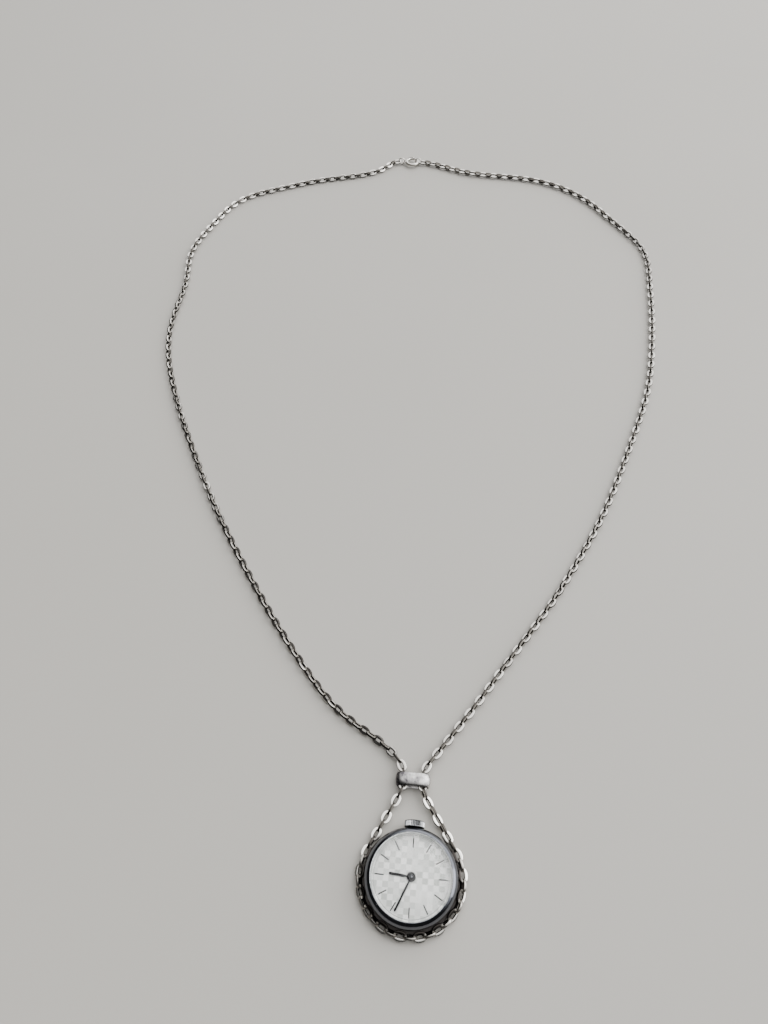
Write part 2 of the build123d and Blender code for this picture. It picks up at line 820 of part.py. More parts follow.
def pallet_fork():
    """Anchor with two stones that stand just clear of the teeth, and a forked lever"""
    towards_wheel = facing(escape_at, pallet_at)
    stones = [polar(escape_radius + 2 * free_gap + pallet_stone / 2, towards_wheel + side, escape_at)
              for side in (-pallet_spread, pallet_spread)]
    neck_length = balance_distance - roller_radius - 3 * free_gap
    neck = polar(neck_length, facing(pallet_at, balance_at), pallet_at)
    sketch = bar(pallet_at, neck, fork_width)
    for stone in stones:
        sketch += bar(pallet_at, stone, fork_width, pallet_stone / 2)
    sketch += Pos(*pallet_at) * RegularPolygon(fork_width, arbor_sides)
    body = slab(sketch, escape_low, escape_low + wheel_thickness)
    pivot_low = escape_low - running_fit - pallet_bridge_thickness
    return (body + arbor(pallet_at, pivot_low, plate_low + pivot_depth)).solid()


def balance_wheel():
    """Rim, two arms, staff and the roller by the fork"""
    inner = balance_radius - balance_rim
    rim = RegularPolygon(balance_radius, wheel_sides) - RegularPolygon(inner, wheel_sides)
    arms = Rectangle(2 * balance_radius - balance_rim, balance_arm)
    body = slab(Pos(*balance_at) * (rim + arms), balance_low, balance_low + balance_height)
    roller = Pos(*balance_at) * RegularPolygon(roller_radius, pipe_sides)
    body += slab(roller, escape_low, escape_low + wheel_thickness)
    return (body + arbor(balance_at, bridge_low, plate_low + pivot_depth)).solid()


def hairspring():
    return spiral(balance_at, hairspring_collet, hairspring_radius, hairspring_turns, hairspring_strip,
                  spring_steps, low_wheel, low_wheel + hairspring_height)


def cannon_pinion():
    """Pinion and pipe on the centre arbor, which carries the minute hand"""
    leaves = toothed(cannon_teeth, motion_module, facing(centre_at, minute_wheel_at))
    leaf_low = pocket_low + running_fit
    body = slab(leaves, leaf_low, leaf_low + cannon_leaf)
    hand_top = minute_hand_low + hand_thickness
    body += prism(pipe_sides, cannon_radius, leaf_low, hand_top + pipe_end)
    return (body - prism(pipe_sides, cannon_bore, pocket_low, hand_top + overrun)).solid()


def minute_wheel():
    turn = gap_towards(minute_wheel_at, centre_at, minute_wheel_teeth)
    low = pocket_low + running_fit
    body = slab(Pos(*minute_wheel_at) * toothed(minute_wheel_teeth, motion_module, turn), low,
                low + wheel_thickness)
    leaves = toothed(minute_pinion_teeth, hour_module, facing(minute_wheel_at, centre_at))
    return (body + slab(Pos(*minute_wheel_at) * leaves, low, plate_top - running_fit)).solid()


def hour_wheel():
    """Wheel and pipe over the cannon pinion, which carries the hour hand"""
    turn = gap_towards(centre_at, minute_wheel_at, hour_wheel_teeth)
    high = plate_top - running_fit
    body = slab(toothed(hour_wheel_teeth, hour_module, turn), high - wheel_thickness, high)
    body += prism(pipe_sides, hour_pipe_radius, high, hour_hand_low + hand_thickness)
    return (body - prism(pipe_sides, hour_pipe_bore, pocket_low, hour_hand_low + overrun)).solid()


def setting_wheel():
    turn = gap_towards(setting_wheel_at, minute_wheel_at, setting_wheel_teeth)
    low = pocket_low + running_fit
    return slab(Pos(*setting_wheel_at) * toothed(setting_wheel_teeth, motion_module, turn), low,
                low + wheel_thickness)


def stem_pinion(length, start):
    """A fluted sleeve on the stem"""
    module = 2 * winding_radius / winding_teeth
    bore = (stem_radius + running_fit) / math.cos(math.radians(180 / pipe_sides))
    sketch = scale(toothed(winding_teeth, module, 0), 1 - tip_share / winding_teeth * 2)
    sketch -= RegularPolygon(bore, pipe_sides)
    return along_y(slab(sketch, start, start + length))


def winding_pinion():
    return stem_pinion(winding_pinion_length, winding_pinion_place)


def sliding_pinion():
    return stem_pinion(sliding_pinion_length, sliding_pinion_start)


def winding_stem():
    """From the sliding pinion to the crown, with the groove for the setting lever"""
    groove_end = stem_groove_place + stem_groove_length / 2
    groove_start = stem_groove_place - stem_groove_length / 2
    end = crown_start + crown_bore_depth
    start = sliding_pinion_start - free_gap / 2
    body = prism(pipe_sides, stem_radius, start, groove_start)
    body += prism(pipe_sides, stem_groove_radius, groove_start, groove_end)
    body += prism(pipe_sides, stem_radius, groove_end, end)
    return along_y(body).solid()


def setting_lever():
    """Plate over the stem with a stud in its groove"""
    low = plate_top - free_gap - lever_thickness
    sketch = bar(lever_at, (0, stem_groove_place), lever_width, lever_width / 3)
    body = slab(sketch, low, low + lever_thickness)
    stud_low = crown_height + stem_groove_radius + running_fit
    body += prism(arbor_sides, stem_groove_length / 2 - running_fit, stud_low, low, (0, stem_groove_place))
    body += prism(arbor_sides, lever_pin_radius, low - lever_pin_length, low, lever_at)
    return body.solid()


def crown_tube():
    """Sleeve pressed into the case for the stem"""
    length = crown_start + crown_gasket_width - case_bore
    bore = tube_radius - tube_wall
    sketch = RegularPolygon(tube_radius, pipe_sides, rotation=tube_turn)
    sketch -= RegularPolygon(bore, pipe_sides, rotation=tube_turn)
    return along_y(slab(sketch, case_bore, case_bore + length))


def crown():
    """Fluted crown, hollow on the case side"""
    corners = []
    for flute in range(crown_flutes):
        angle = 360 * flute / crown_flutes
        valley = angle + 180 / crown_flutes
        corners += [polar(crown_radius, angle), polar(crown_radius - flute_depth, valley)]
    body = slab(make_face(Polyline(*corners, close=True)), crown_start, crown_end)
    body -= prism(pocket_sides, crown_bore, crown_start - overrun, crown_start + crown_bore_depth)
    return along_y(body.solid())


def crown_gasket():
    """Soft ring inside the crown, round the tube"""
    outer = crown_bore - press_fit
    inner = outer - crown_gasket_wall
    low = crown_start + running_fit
    high = low + crown_gasket_width
    outline = [(inner, low), (outer, low), (outer, high), (inner, high)]
    return along_y(turned(outline, pocket_sides))


def link():
    """One link, lying along X and flat in XY: a frame with a flat rim that thins towards its hole"""
    half = link_thickness / 2
    rings = []
    for x, y in ((1, 1), (-1, 1), (-1, -1), (1, -1)):
        outer_x, outer_y = x * link_length / 2, y * link_width / 2
        inner = Vector(outer_x - x * link_wire, outer_y - y * link_wire, 0)
        rings.append([inner, Vector(outer_x, outer_y, -half), Vector(outer_x, outer_y, half)])
    return skin(rings, True)


def half_height(roll):
    """Half the height that two neighbouring links need when the chain is rolled so far"""
    turn = math.radians(roll % 90)
    wide = link_width * max(math.sin(turn), math.cos(turn))
    return (wide + link_thickness * min(math.sin(turn), math.cos(turn))) / 2


def eased(share):
    return share * share * (3 - 2 * share)


def chain_height(point, roll):
    """The chain lies on the table and climbs a little to pass through the slider"""
    rest = chain_lift + half_height(roll)
    away = min(math.dist((point.X, point.Y), slider_place) / slider_ramp, 1)
    return rest + (slider_height / 2 - rest) * (1 - eased(away))


def table(pairs, share):
    """Straight-line reading between (share, value) pairs"""
    for (low, first), (high, second) in zip(pairs, pairs[1:]):
        if share <= high:
            return first + (second - first) * (share - low) / (high - low)
    return pairs[-1][1]


slider_x, slider_y = slider_place
left_bend_centre = (slider_x - strand_offset - waist_bend, slider_y)
right_bend_centre = (slider_x + strand_offset + waist_bend, slider_y)
lift_turn = math.degrees(math.asin((slider_length / 2 + lift_place) / waist_bend))
clasp_at = (clasp_share[0] * necklace_reach, clasp_share[1] * necklace_reach)


def lower_route():
    """From the left of the slider, round the case and up to the right of the slider"""
    reach = waist_bend + chain_circle
    left_lean = math.degrees(math.acos(reach / math.dist(left_bend_centre, (0, 0))))
    right_lean = math.degrees(math.acos(reach / math.dist(right_bend_centre, (0, 0))))
    left = facing((0, 0), left_bend_centre) + left_lean
    right = facing((0, 0), right_bend_centre) - right_lean
    left_bend = CenterArc(left_bend_centre, waist_bend, -lift_turn, left - 180 + lift_turn)
    right_bend = CenterArc(right_bend_centre, waist_bend, 180 + right, lift_turn - right)
    round_case = CenterArc((0, 0), chain_circle, left, 360 + right - left)
    down = Line(left_bend @ 1, round_case @ 0)
    up = Line(round_case @ 1, right_bend @ 0)
    return Wire([left_bend, down, round_case, up, right_bend])


def upper_route(bend_centre, side, turn, shares, end):
    """From below the slider, through it and along the table to the clasp"""
    if side < 0:
        bend = CenterArc(bend_centre, waist_bend, -lift_turn, lift_turn + turn)
    else:
        bend = CenterArc(bend_centre, waist_bend, 180 + lift_turn, -lift_turn - turn)
    points = [(x * necklace_reach, y * necklace_reach) for x, y in shares]
    free = Spline([bend @ 1] + points + [end], tangents=[bend % 1, (-side, 0)], tangent_scalars=[1, 1])
    return Wire([bend, free])


def length_at(route, height):
    """How far along the route it first passes a line across the table"""
    low, high = 0, route.length
    for _ in range(halvings):
        middle = (low + high) / 2
        if route.position_at(middle, position_mode=PositionMode.LENGTH).Y < height:
            low = middle
        else:
            high = middle
    return (low + high) / 2


def lay(one, route, start, end, first_index, roll_of, flat_end=False):
    """Links along one stretch of a route, in whole numbers, and the index that follows them"""
    count = round((end - start) / link_pitch)
    if flat_end and (first_index + count) % 2 == 0:
        count -= 1
    step = (end - start) / count
    links = []
    for i in range(count):
        along = start + (i + 0.5) * step
        before = route.position_at(along - step / 2, position_mode=PositionMode.LENGTH)
        after = route.position_at(along + step / 2, position_mode=PositionMode.LENGTH)
        roll = roll_of(along)
        before = Vector(before.X, before.Y, chain_height(before, roll))
        after = Vector(after.X, after.Y, chain_height(after, roll))
        forward = (after - before).normalized()
        across = Vector(0, 0, 1).cross(forward).normalized()
        up = forward.cross(across)
        turn = math.radians(roll + 90 * ((first_index + i) % 2))
        normal = up * math.cos(turn) + across * math.sin(turn)
        middle = (before + after) * 0.5
        links.append(Plane(origin=middle, x_dir=forward, z_dir=normal).location * one)
    return links, first_index + count


def slider():
    """Worn band, rounded at both ends and bulging a little, open from end to end"""
    half_run = (slider_width - slider_height) / 2
    end_radius = slider_height / 2
    inner_radius = end_radius - slider_wall
    stations = []
    for side, first in ((1, -90), (-1, 90)):
        for i in range(slider_sides + 1):
            stations.append((side * half_run, first + 180 * i / slider_sides))
    flat = slider_length * slider_flat_share
    sections = [
        (inner_radius, -slider_length / 2), (end_radius - slider_crown, -slider_length / 2),
        (end_radius, -flat), (end_radius, flat),
        (end_radius - slider_crown, slider_length / 2), (inner_radius, slider_length / 2),
    ]
    rings = []
    for middle, angle in stations:
        x, z = math.cos(math.radians(angle)), math.sin(math.radians(angle))
        start = slider_x + middle
        rings.append([Vector(start + r * x, slider_y + y, end_radius + r * z) for r, y in sections])
    return skin(rings, True)


def round_section(radius, middle, height, sides):
    turns = [math.radians(360 * (i + 0.5) / sides) for i in range(sides)]
    return [(middle + radius * math.cos(a), height + radius * math.sin(a)) for a in turns]


lug_at = clasp_radius + clasp_tube + lug_length
jump_at = lug_at - lug_bar + jump_ring_radius - jump_ring_wire - ring_slack
end_ring_at = clasp_radius + ring_slack
left_end_at = (clasp_at[0] - jump_at - jump_ring_radius + jump_ring_wire + ring_slack, clasp_at[1])
right_end_at = (clasp_at[0] + end_ring_at + end_ring_radius - end_ring_wire - ring_slack, clasp_at[1])


def clasp_ring():
    """Hollow ring, open on one side for the trigger, with a flat lug towards the left strand"""
    first = clasp_mouth_turn + clasp_gap_angle
    last = 360 + clasp_mouth_turn
    outside = round_section(clasp_tube, clasp_radius, clasp_height, arbor_sides)
    inside = round_section(clasp_bore, clasp_radius, clasp_height, arbor_sides)
    tube = turned(outside, clasp_sides, first, last)
    bore = turned(inside, clasp_sides, first, last - clasp_gap_angle)
    held = (Align.MIN, Align.CENTER, Align.CENTER)
    lug = Pos(-lug_at, 0, clasp_height) * Box(lug_length + clasp_tube, lug_width, lug_thickness, align=held)
    hole = Pos(-lug_at + lug_bar, 0, clasp_height) * Box(
        lug_length - lug_bar, lug_hole_width, 2 * lug_thickness, align=held)
    slot_end = thumb_turn + thumb_angle + clasp_travel + thumb_angle / 2
    slot_start = thumb_turn - thumb_angle / 2
    slot = upright_sector(thumb_width, slot_start, slot_end, clasp_height, thumb_top + overrun)
    return Pos(*clasp_at) * (tube + lug - hole - bore - slot).solid()


def clasp_trigger():
    """Curved bolt that closes the ring, with its thumb piece"""
    bolt = turned(round_section(clasp_bore - 3 * running_fit, clasp_radius, clasp_height, arbor_sides),
                  pipe_sides, clasp_mouth_turn + mouth_clearance, thumb_turn + thumb_angle)
    thumb = upright_sector(thumb_width - running_fit * 2, thumb_turn, thumb_turn + thumb_angle,
                           clasp_height, thumb_top)
    return Pos(*clasp_at) * (bolt + thumb).solid()


def upright_sector(width, first, last, low, high):
    """A curved block over the tube of the clasp"""
    inner, outer = clasp_radius - width / 2, clasp_radius + width / 2
    return turned([(inner, low), (outer, low), (outer, high), (inner, high)], slot_sides, first, last)


def jump_ring(radius, wire, middle):
    """Upright ring across the end of a strand"""
    inner = radius - wire
    outline = [(inner, -wire / 2), (radius, -wire / 2), (radius, wire / 2), (inner, wire / 2)]
    place = Pos(clasp_at[0] + middle, clasp_at[1], radius + chain_lift)
    return place * Rot(90, 0, 0) * turned(outline, pipe_sides)


def clasp_jump_ring():
    return jump_ring(jump_ring_radius, jump_ring_wire, -jump_at)


def chain_end_ring():
    return jump_ring(end_ring_radius, end_ring_wire, end_ring_at)


def chain_stretches():
    """Every link, gathered into named stretches that run from the left of the clasp round to its right"""
    one = link()
    folds = [first_fold_share * necklace_reach, second_fold_share * necklace_reach]
    left = upper_route(left_bend_centre, -1, left_waist_turn, left_route_shares, left_end_at)
    right = upper_route(right_bend_centre, 1, right_waist_turn, right_route_shares, right_end_at)
    lower = lower_route()
    stretches = {}
    index = 0
    left_stops = [0] + [length_at(left, fold) for fold in folds] + [left.length]
    for number in range(3):
        links, index = lay(one, left, left_stops[number], left_stops[number + 1], index,
                           lambda along: table(left_roll, along / left.length), number == 2)
        stretches[f"chain_left_{number + 1}"] = links
    links, index = lay(one, lower, 0, lower.length, 1,
                       lambda along: -table(case_roll, along / lower.length))
    drop = round(len(links) * drop_share)
    stretches["chain_left_drop"] = links[:drop]
    stretches["chain_round_case"] = links[drop:-drop]
    stretches["chain_right_drop"] = links[-drop:]
    right_stops = [0] + [length_at(right, fold) for fold in folds] + [right.length]
    for number in range(3):
        links, index = lay(one, right, right_stops[number], right_stops[number + 1], index,
                           lambda along: table(right_roll, along / right.length), number == 2)
        stretches[f"chain_right_{number + 1}"] = links
    return stretches


pieces = {
    "case_back": case_back, "case_back_gasket": case_back_gasket, "case_middle": case_middle, "bezel": bezel,
    "crystal": crystal, "dial_ring": dial_ring, "dial": dial, "hour_markers": hour_markers,
    "hour_hand": hour_hand, "minute_hand": minute_hand, "movement_ring": movement_ring,
    "main_plate": main_plate, "barrel_bridge": barrel_bridge, "train_bridge": train_bridge,
    "balance_cock": balance_cock, "pallet_bridge": pallet_bridge, "bridge_screws": bridge_screws,
    "mainspring_barrel": mainspring_barrel, "barrel_cover": barrel_cover, "mainspring": mainspring,
    "barrel_arbor": barrel_arbor, "ratchet_wheel": ratchet_wheel, "crown_wheel": crown_wheel, "click": click,
    "click_spring": click_spring, "centre_wheel": centre_wheel, "third_wheel": third_wheel,
    "fourth_wheel": fourth_wheel, "escape_wheel": escape_wheel, "pallet_fork": pallet_fork,
    "balance_wheel": balance_wheel, "hairspring": hairspring, "cannon_pinion": cannon_pinion,
    "minute_wheel": minute_wheel, "hour_wheel": hour_wheel, "setting_wheel": setting_wheel,
    "winding_pinion": winding_pinion, "sliding_pinion": sliding_pinion, "winding_stem": winding_stem,
    "setting_lever": setting_lever, "crown_tube": crown_tube, "crown": crown, "crown_gasket": crown_gasket,
    "slider": slider, "clasp_ring": clasp_ring, "clasp_trigger": clasp_trigger,
    "clasp_jump_ring": clasp_jump_ring, "chain_end_ring": chain_end_ring,
}

os.makedirs("parts", exist_ok=True)
for name, make in pieces.items():
    export_step(make(), f"parts/{name}.step")
for name, links in chain_stretches().items():
    export_step(Compound(links), f"parts/{name}.step")
    print(name, len(links), "links")
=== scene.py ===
import math
import random
import bmesh
import bpy
import numpy as np
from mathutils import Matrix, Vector


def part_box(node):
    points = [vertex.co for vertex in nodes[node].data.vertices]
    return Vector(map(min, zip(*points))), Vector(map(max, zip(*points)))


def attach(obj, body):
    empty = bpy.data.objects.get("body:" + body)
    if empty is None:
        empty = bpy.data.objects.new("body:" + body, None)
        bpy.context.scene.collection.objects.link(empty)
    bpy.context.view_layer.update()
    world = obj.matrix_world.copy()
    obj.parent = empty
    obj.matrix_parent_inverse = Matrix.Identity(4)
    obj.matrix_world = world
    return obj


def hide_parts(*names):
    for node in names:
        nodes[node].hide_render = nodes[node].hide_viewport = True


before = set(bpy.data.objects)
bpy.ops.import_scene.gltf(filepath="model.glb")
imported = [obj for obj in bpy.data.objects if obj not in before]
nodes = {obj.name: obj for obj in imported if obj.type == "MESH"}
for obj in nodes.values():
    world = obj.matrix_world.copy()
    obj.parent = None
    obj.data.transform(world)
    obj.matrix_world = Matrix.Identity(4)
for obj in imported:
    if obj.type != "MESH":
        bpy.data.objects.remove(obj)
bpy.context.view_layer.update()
MM = 0.001


# The photographer stands at the watch's lower edge and looks down and forwards along the chain,
# with a phone held about 23 cm above the table and turned a little against the crown.
heading = math.radians(6.5)
tilt = math.radians(33.4)
roll = math.radians(-1.62)
ahead = Vector((-math.sin(heading), math.cos(heading), 0))
aside = Vector((math.cos(heading), math.sin(heading), 0))
below = Vector((0, 0, -1))
looking = ahead * math.sin(tilt) + below * math.cos(tilt)
down_picture = below * math.sin(tilt) - ahead * math.cos(tilt)
right = aside * math.cos(roll) - down_picture * math.sin(roll)
downwards = aside * math.sin(roll) + down_picture * math.cos(roll)
eye_aside, eye_ahead, eye_height = -4.5, -31.6, 229
eye = aside * eye_aside * MM + ahead * eye_ahead * MM + Vector((0, 0, eye_height * MM))

camera = bpy.data.objects.new("camera", bpy.data.cameras.new("camera"))
bpy.context.scene.collection.objects.link(camera)
sensor_width, focal_pixels, picture_width = 36, 770, 768
camera.data.sensor_fit = "HORIZONTAL"
camera.data.sensor_width = sensor_width
camera.data.lens = sensor_width * focal_pixels / picture_width
camera.data.clip_start = 0.01
for row in range(3):
    camera.matrix_world[row][0] = right[row]
    camera.matrix_world[row][1] = -downwards[row]
    camera.matrix_world[row][2] = -looking[row]
    camera.matrix_world[row][3] = eye[row]
bpy.context.scene.camera = camera


# The table: a plain pale matt laminate, large enough that no edge comes near the watch from any side.
# It only carries the watch and its shadow. The scale of its faint patches, as of every pattern's below, is
# written as the number of them to a millimetre, over MM.
def colour(hex_code):
    """The linear colour of an sRGB hex value"""
    channels = [int(hex_code[i:i + 2], 16) / 255 for i in (0, 2, 4)]
    return [c / 12.92 if c <= 0.04045 else ((c + 0.055) / 1.055) ** 2.4 for c in channels] + [1]


def add(material, kind, inputs=None, **settings):
    """One node with its settings; an input is a value or another node's socket"""
    tree = material.node_tree
    node = tree.nodes.new(kind)
    for name, value in settings.items():
        setattr(node, name, value)
    for name, value in (inputs or {}).items():
        if isinstance(value, bpy.types.NodeSocket):
            tree.links.new(value, node.inputs[name])
        else:
            node.inputs[name].default_value = value
    return node


def surface(name, **values):
    """A material whose shader has these values on its own sockets"""
    material = bpy.data.materials.new(name)
    material.use_nodes = True
    shader = material.node_tree.nodes["Principled BSDF"]
    for socket, value in values.items():
        shader.inputs[socket.replace("_", " ")].default_value = value
    return material, shader


def linked(material, shader, **sockets):
    """Links other nodes' sockets to the shader's inputs of these names"""
    for socket, source in sockets.items():
        material.node_tree.links.new(source, shader.inputs[socket.replace("_", " ")])


def piece(name, points, faces, *materials, sharp=30):
    """A mesh object from points in millimetres, smooth except over edges sharper than the angle"""
    mesh = bpy.data.meshes.new(name)
    mesh.from_pydata([[c * MM for c in p] for p in points], [], faces)
    shape = bmesh.new()
    shape.from_mesh(mesh)
    bmesh.ops.remove_doubles(shape, verts=shape.verts, dist=0.001 * MM)
    bmesh.ops.recalc_face_normals(shape, faces=shape.faces)
    shape.to_mesh(mesh)
    shape.free()
    mesh.shade_smooth()
    mesh.set_sharp_from_angle(angle=math.radians(sharp))
    for material in materials:
        mesh.materials.append(material)
    thing = bpy.data.objects.new(name, mesh)
    bpy.context.scene.collection.objects.link(thing)
    return thing


laminate, laminate_shader = surface("pale_laminate", Roughness=0.62)
grain = add(laminate, "ShaderNodeTexNoise", {"Scale": 0.045 / MM, "Detail": 4.0})
tone = add(laminate, "ShaderNodeMixRGB", {"Fac": grain.outputs["Fac"], "Color1": colour("9B9892"),
                                           "Color2": colour("A5A29C")})
linked(laminate, laminate_shader, Base_Color=tone.outputs["Color"])
table_reach, table_top = 6000, -0.02
table_corners = [(-table_reach, -table_reach, table_top), (table_reach, -table_reach, table_top),
                 (table_reach, table_reach, table_top), (-table_reach, table_reach, table_top)]
table = piece("table", table_corners, [(0, 1, 2, 3)], laminate)


# The light is that of a broad window ahead and to the right, softened by a large diffuser overhead. The room
# is dark to the left and behind the photographer, which polished metal shows.
def softbox(name, place, aim, width, height, power):
    """A rectangular area light in metres and watts, turned to the point that it is aimed at"""
    lamp = bpy.data.objects.new(name, bpy.data.lights.new(name, "AREA"))
    lamp.data.shape = "RECTANGLE"
    lamp.data.size = width
    lamp.data.size_y = height
    lamp.data.energy = power
    lamp.location = place
    lamp.rotation_euler = (Vector(aim) - Vector(place)).to_track_quat("-Z", "Y").to_euler()
    bpy.context.scene.collection.objects.link(lamp)


softbox("window", (0.75, 0.55, 0.80), (0, 0.12, 0), 0.9, 0.7, 9)
softbox("low_window", (1.10, 0.10, 0.30), (0, 0.05, 0), 0.7, 0.5, 4)
room = bpy.data.worlds.new("room")
room.use_nodes = True
bpy.context.scene.world = room
background = room.node_tree.nodes["Background"]
direction = add(room, "ShaderNodeTexCoord")
towards = Vector((0.42, 0.55, 0.72)).normalized()
facing = add(room, "ShaderNodeVectorMath", {0: direction.outputs["Generated"], 1: towards},
             operation="DOT_PRODUCT")
walls = add(room, "ShaderNodeMapRange", {"Value": facing.outputs["Value"], "From Min": 0.30, "From Max": 0.80,
                                         "To Min": 0.05, "To Max": 3.4}, interpolation_type="SMOOTHSTEP")
room.node_tree.links.new(walls.outputs[0], background.inputs["Color"])
background.inputs["Strength"].default_value = 1.0


# Case back: turned from steel and snapped into the case from below, with a flange that keeps the chain in its
# groove and a notch under the crown. It is brushed in rings, and where the chain covers it the colour is
# darkened as painted shade under the chain, with tarnish.
def softened(outline, radius, steps=3):
    """The closed outline with each corner rounded"""
    points = []
    for i, corner in enumerate(outline):
        corner = Vector(corner)
        before, after = Vector(outline[i - 1]) - corner, Vector(outline[(i + 1) % len(outline)]) - corner
        start = corner + before.normalized() * min(radius, before.length * 0.45)
        end = corner + after.normalized() * min(radius, after.length * 0.45)
        for step in range(steps + 1):
            t = step / steps
            points.append(start * (1 - t) ** 2 + corner * 2 * t * (1 - t) + end * t ** 2)
    return [(p.x, p.y) for p in points]


def lathe(outline, sides, wave=None):
    """Points and faces of a closed (radius, height) outline turned about the upright axis"""
    points, faces = [], []
    count = len(outline)
    for turn in range(sides):
        angle = 2 * math.pi * turn / sides
        for r, z in outline:
            reach = wave(r, z, angle) if wave else r
            points.append((reach * math.cos(angle), reach * math.sin(angle), z))
        for i in range(count):
            j = (i + 1) % count
            here, there = turn * count, (turn + 1) % sides * count
            faces.append((here + i, there + i, there + j, here + j))
    return points, faces


def cut(thing, *cutters):
    """Takes the cutters out of the piece and removes them"""
    for cutter in cutters:
        step = thing.modifiers.new("cut", "BOOLEAN")
        step.object = cutter
        step.solver = "EXACT"
    bpy.context.view_layer.update()
    finished = bpy.data.meshes.new_from_object(thing.evaluated_get(bpy.context.evaluated_depsgraph_get()))
    thing.modifiers.clear()
    thing.data = finished
    finished.shade_smooth()
    finished.set_sharp_from_angle(angle=math.radians(30))
    for cutter in cutters:
        bpy.data.objects.remove(cutter)
    return thing


def block(name, low, high):
    """A box between two corners in millimetres"""
    points = [(x, y, z) for x in (low[0], high[0]) for y in (low[1], high[1]) for z in (low[2], high[2])]
    faces = [(0, 1, 3, 2), (4, 6, 7, 5), (0, 4, 5, 1), (2, 3, 7, 6), (0, 2, 6, 4), (1, 5, 7, 3)]
    return piece(name, points, faces)


def ring_brushed_steel(name, tone_dark, tone_light, roughness, line):
    """Steel turned or brushed in rings about the watch's axis, with this many millimetres to a line"""
    steel, shader = surface(name, Metallic=1.0, Roughness=roughness)
    place = add(steel, "ShaderNodeTexCoord")
    flat = add(steel, "ShaderNodeVectorMath", {0: place.outputs["Object"], 1: (1, 1, 0)},
               operation="MULTIPLY")
    reach = add(steel, "ShaderNodeVectorMath", {0: flat.outputs[0]}, operation="LENGTH")
    rings = add(steel, "ShaderNodeMath", {0: reach.outputs["Value"], 1: 1 / (line * MM)},
                operation="MULTIPLY")
    height = add(steel, "ShaderNodeSeparateXYZ", {"Vector": place.outputs["Object"]})
    stack = add(steel, "ShaderNodeMath", {0: height.outputs["Z"], 1: 1 / (line * MM)}, operation="MULTIPLY")
    spot = add(steel, "ShaderNodeCombineXYZ", {"X": rings.outputs[0], "Y": stack.outputs[0]})
    lines = add(steel, "ShaderNodeTexNoise", {"Vector": spot.outputs[0], "Scale": 1.0, "Detail": 3.0})
    tint = add(steel, "ShaderNodeMixRGB", {"Fac": lines.outputs["Fac"], "Color1": colour(tone_dark),
                                           "Color2": colour(tone_light)})
    relief = add(steel, "ShaderNodeBump", {"Height": lines.outputs["Fac"], "Strength": 0.25,
                                           "Distance": 0.02 * MM})
    linked(steel, shader, Base_Color=tint.outputs["Color"], Normal=relief.outputs["Normal"])
    return steel


brushed_back = ring_brushed_steel("ring_brushed_steel_back", "8E8D8B", "B9B8B5", 0.32, 0.08)
flange_radius, flange_top, chamfer_width, chamfer_height = 13.2, 0.9, 0.35, 0.32
wall_outer, wall_inner, wall_top, back_thickness = 11.7, 11.2, 1.7, 0.4
scored_radius, half_score, score_depth, near_axis = 9.0, 0.4, 0.12, 0.02
back_outline = softened([
    (near_axis, 0.0), (scored_radius - half_score, 0.0), (scored_radius, score_depth),
    (scored_radius + half_score, 0.0), (flange_radius - chamfer_width, 0.0), (flange_radius, chamfer_height),
    (flange_radius, flange_top), (wall_outer, flange_top), (wall_outer, wall_top), (wall_inner, wall_top),
    (wall_inner, back_thickness), (near_axis, back_thickness)], 0.08)
case_back = piece("case_back_turned", *lathe(back_outline, 160), brushed_back)
half_notch, notch_reach = 3.05, 12.5
cut(case_back, block("crown_notch", (-half_notch, notch_reach, -1), (half_notch, 14, 2)))
# The flange's top in the chain's groove is coloured dark as painted shade under the chain, with tarnish.
groove_shade_and_tarnish = ring_brushed_steel("groove_painted_shade_and_tarnish", "1D1C1C", "353230", 0.42, 0.07)
groove_reach, groove_floor = 11.6, 0.4
case_back.data.materials.append(groove_shade_and_tarnish)
for face in case_back.data.polygons:
    reach = math.hypot(face.center.x, face.center.y)
    face.material_index = int(reach > groove_reach * MM and face.center.z > groove_floor * MM)
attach(case_back, "case_back")
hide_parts("case_back")


# Case band: a turned steel ring with a shallow waist where the chain lies, drilled for the crown's tube.
# It is coloured dark all over, as painted shade from the chain and the bezel above it and as tarnish
# where the chain keeps a cloth from reaching it.
band_shade_and_tarnish = ring_brushed_steel("case_band_painted_shade_and_tarnish", "262423", "45413D", 0.4, 0.07)
band_low, waist_height, band_top, neck_top, step_height = 0.92, 1.45, 3.6, 4.32, 1.9
band_radius, waist_radius, neck_radius, band_bore, back_bore = 12.4, 12.1, 11.8, 11.1, 11.72
band_outline = softened([(back_bore, band_low), (band_radius, band_low), (waist_radius, waist_height),
                         (band_radius, band_top), (neck_radius, band_top), (neck_radius, neck_top),
                         (band_bore, neck_top), (band_bore, step_height), (back_bore, step_height)], 0.06)
case_band = piece("case_band", *lathe(band_outline, 160), band_shade_and_tarnish)
crown_centre, drilled = 2.85, 0.585
drill_points, drill_faces = lathe([(0.0, 10.5), (drilled, 10.5), (drilled, 13.5), (0.0, 13.5)], 24)
drill = piece("drill", [(x, z, crown_centre - y) for x, y, z in drill_points], drill_faces)
cut(case_band, drill)
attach(case_band, "watch")
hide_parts("case_middle")


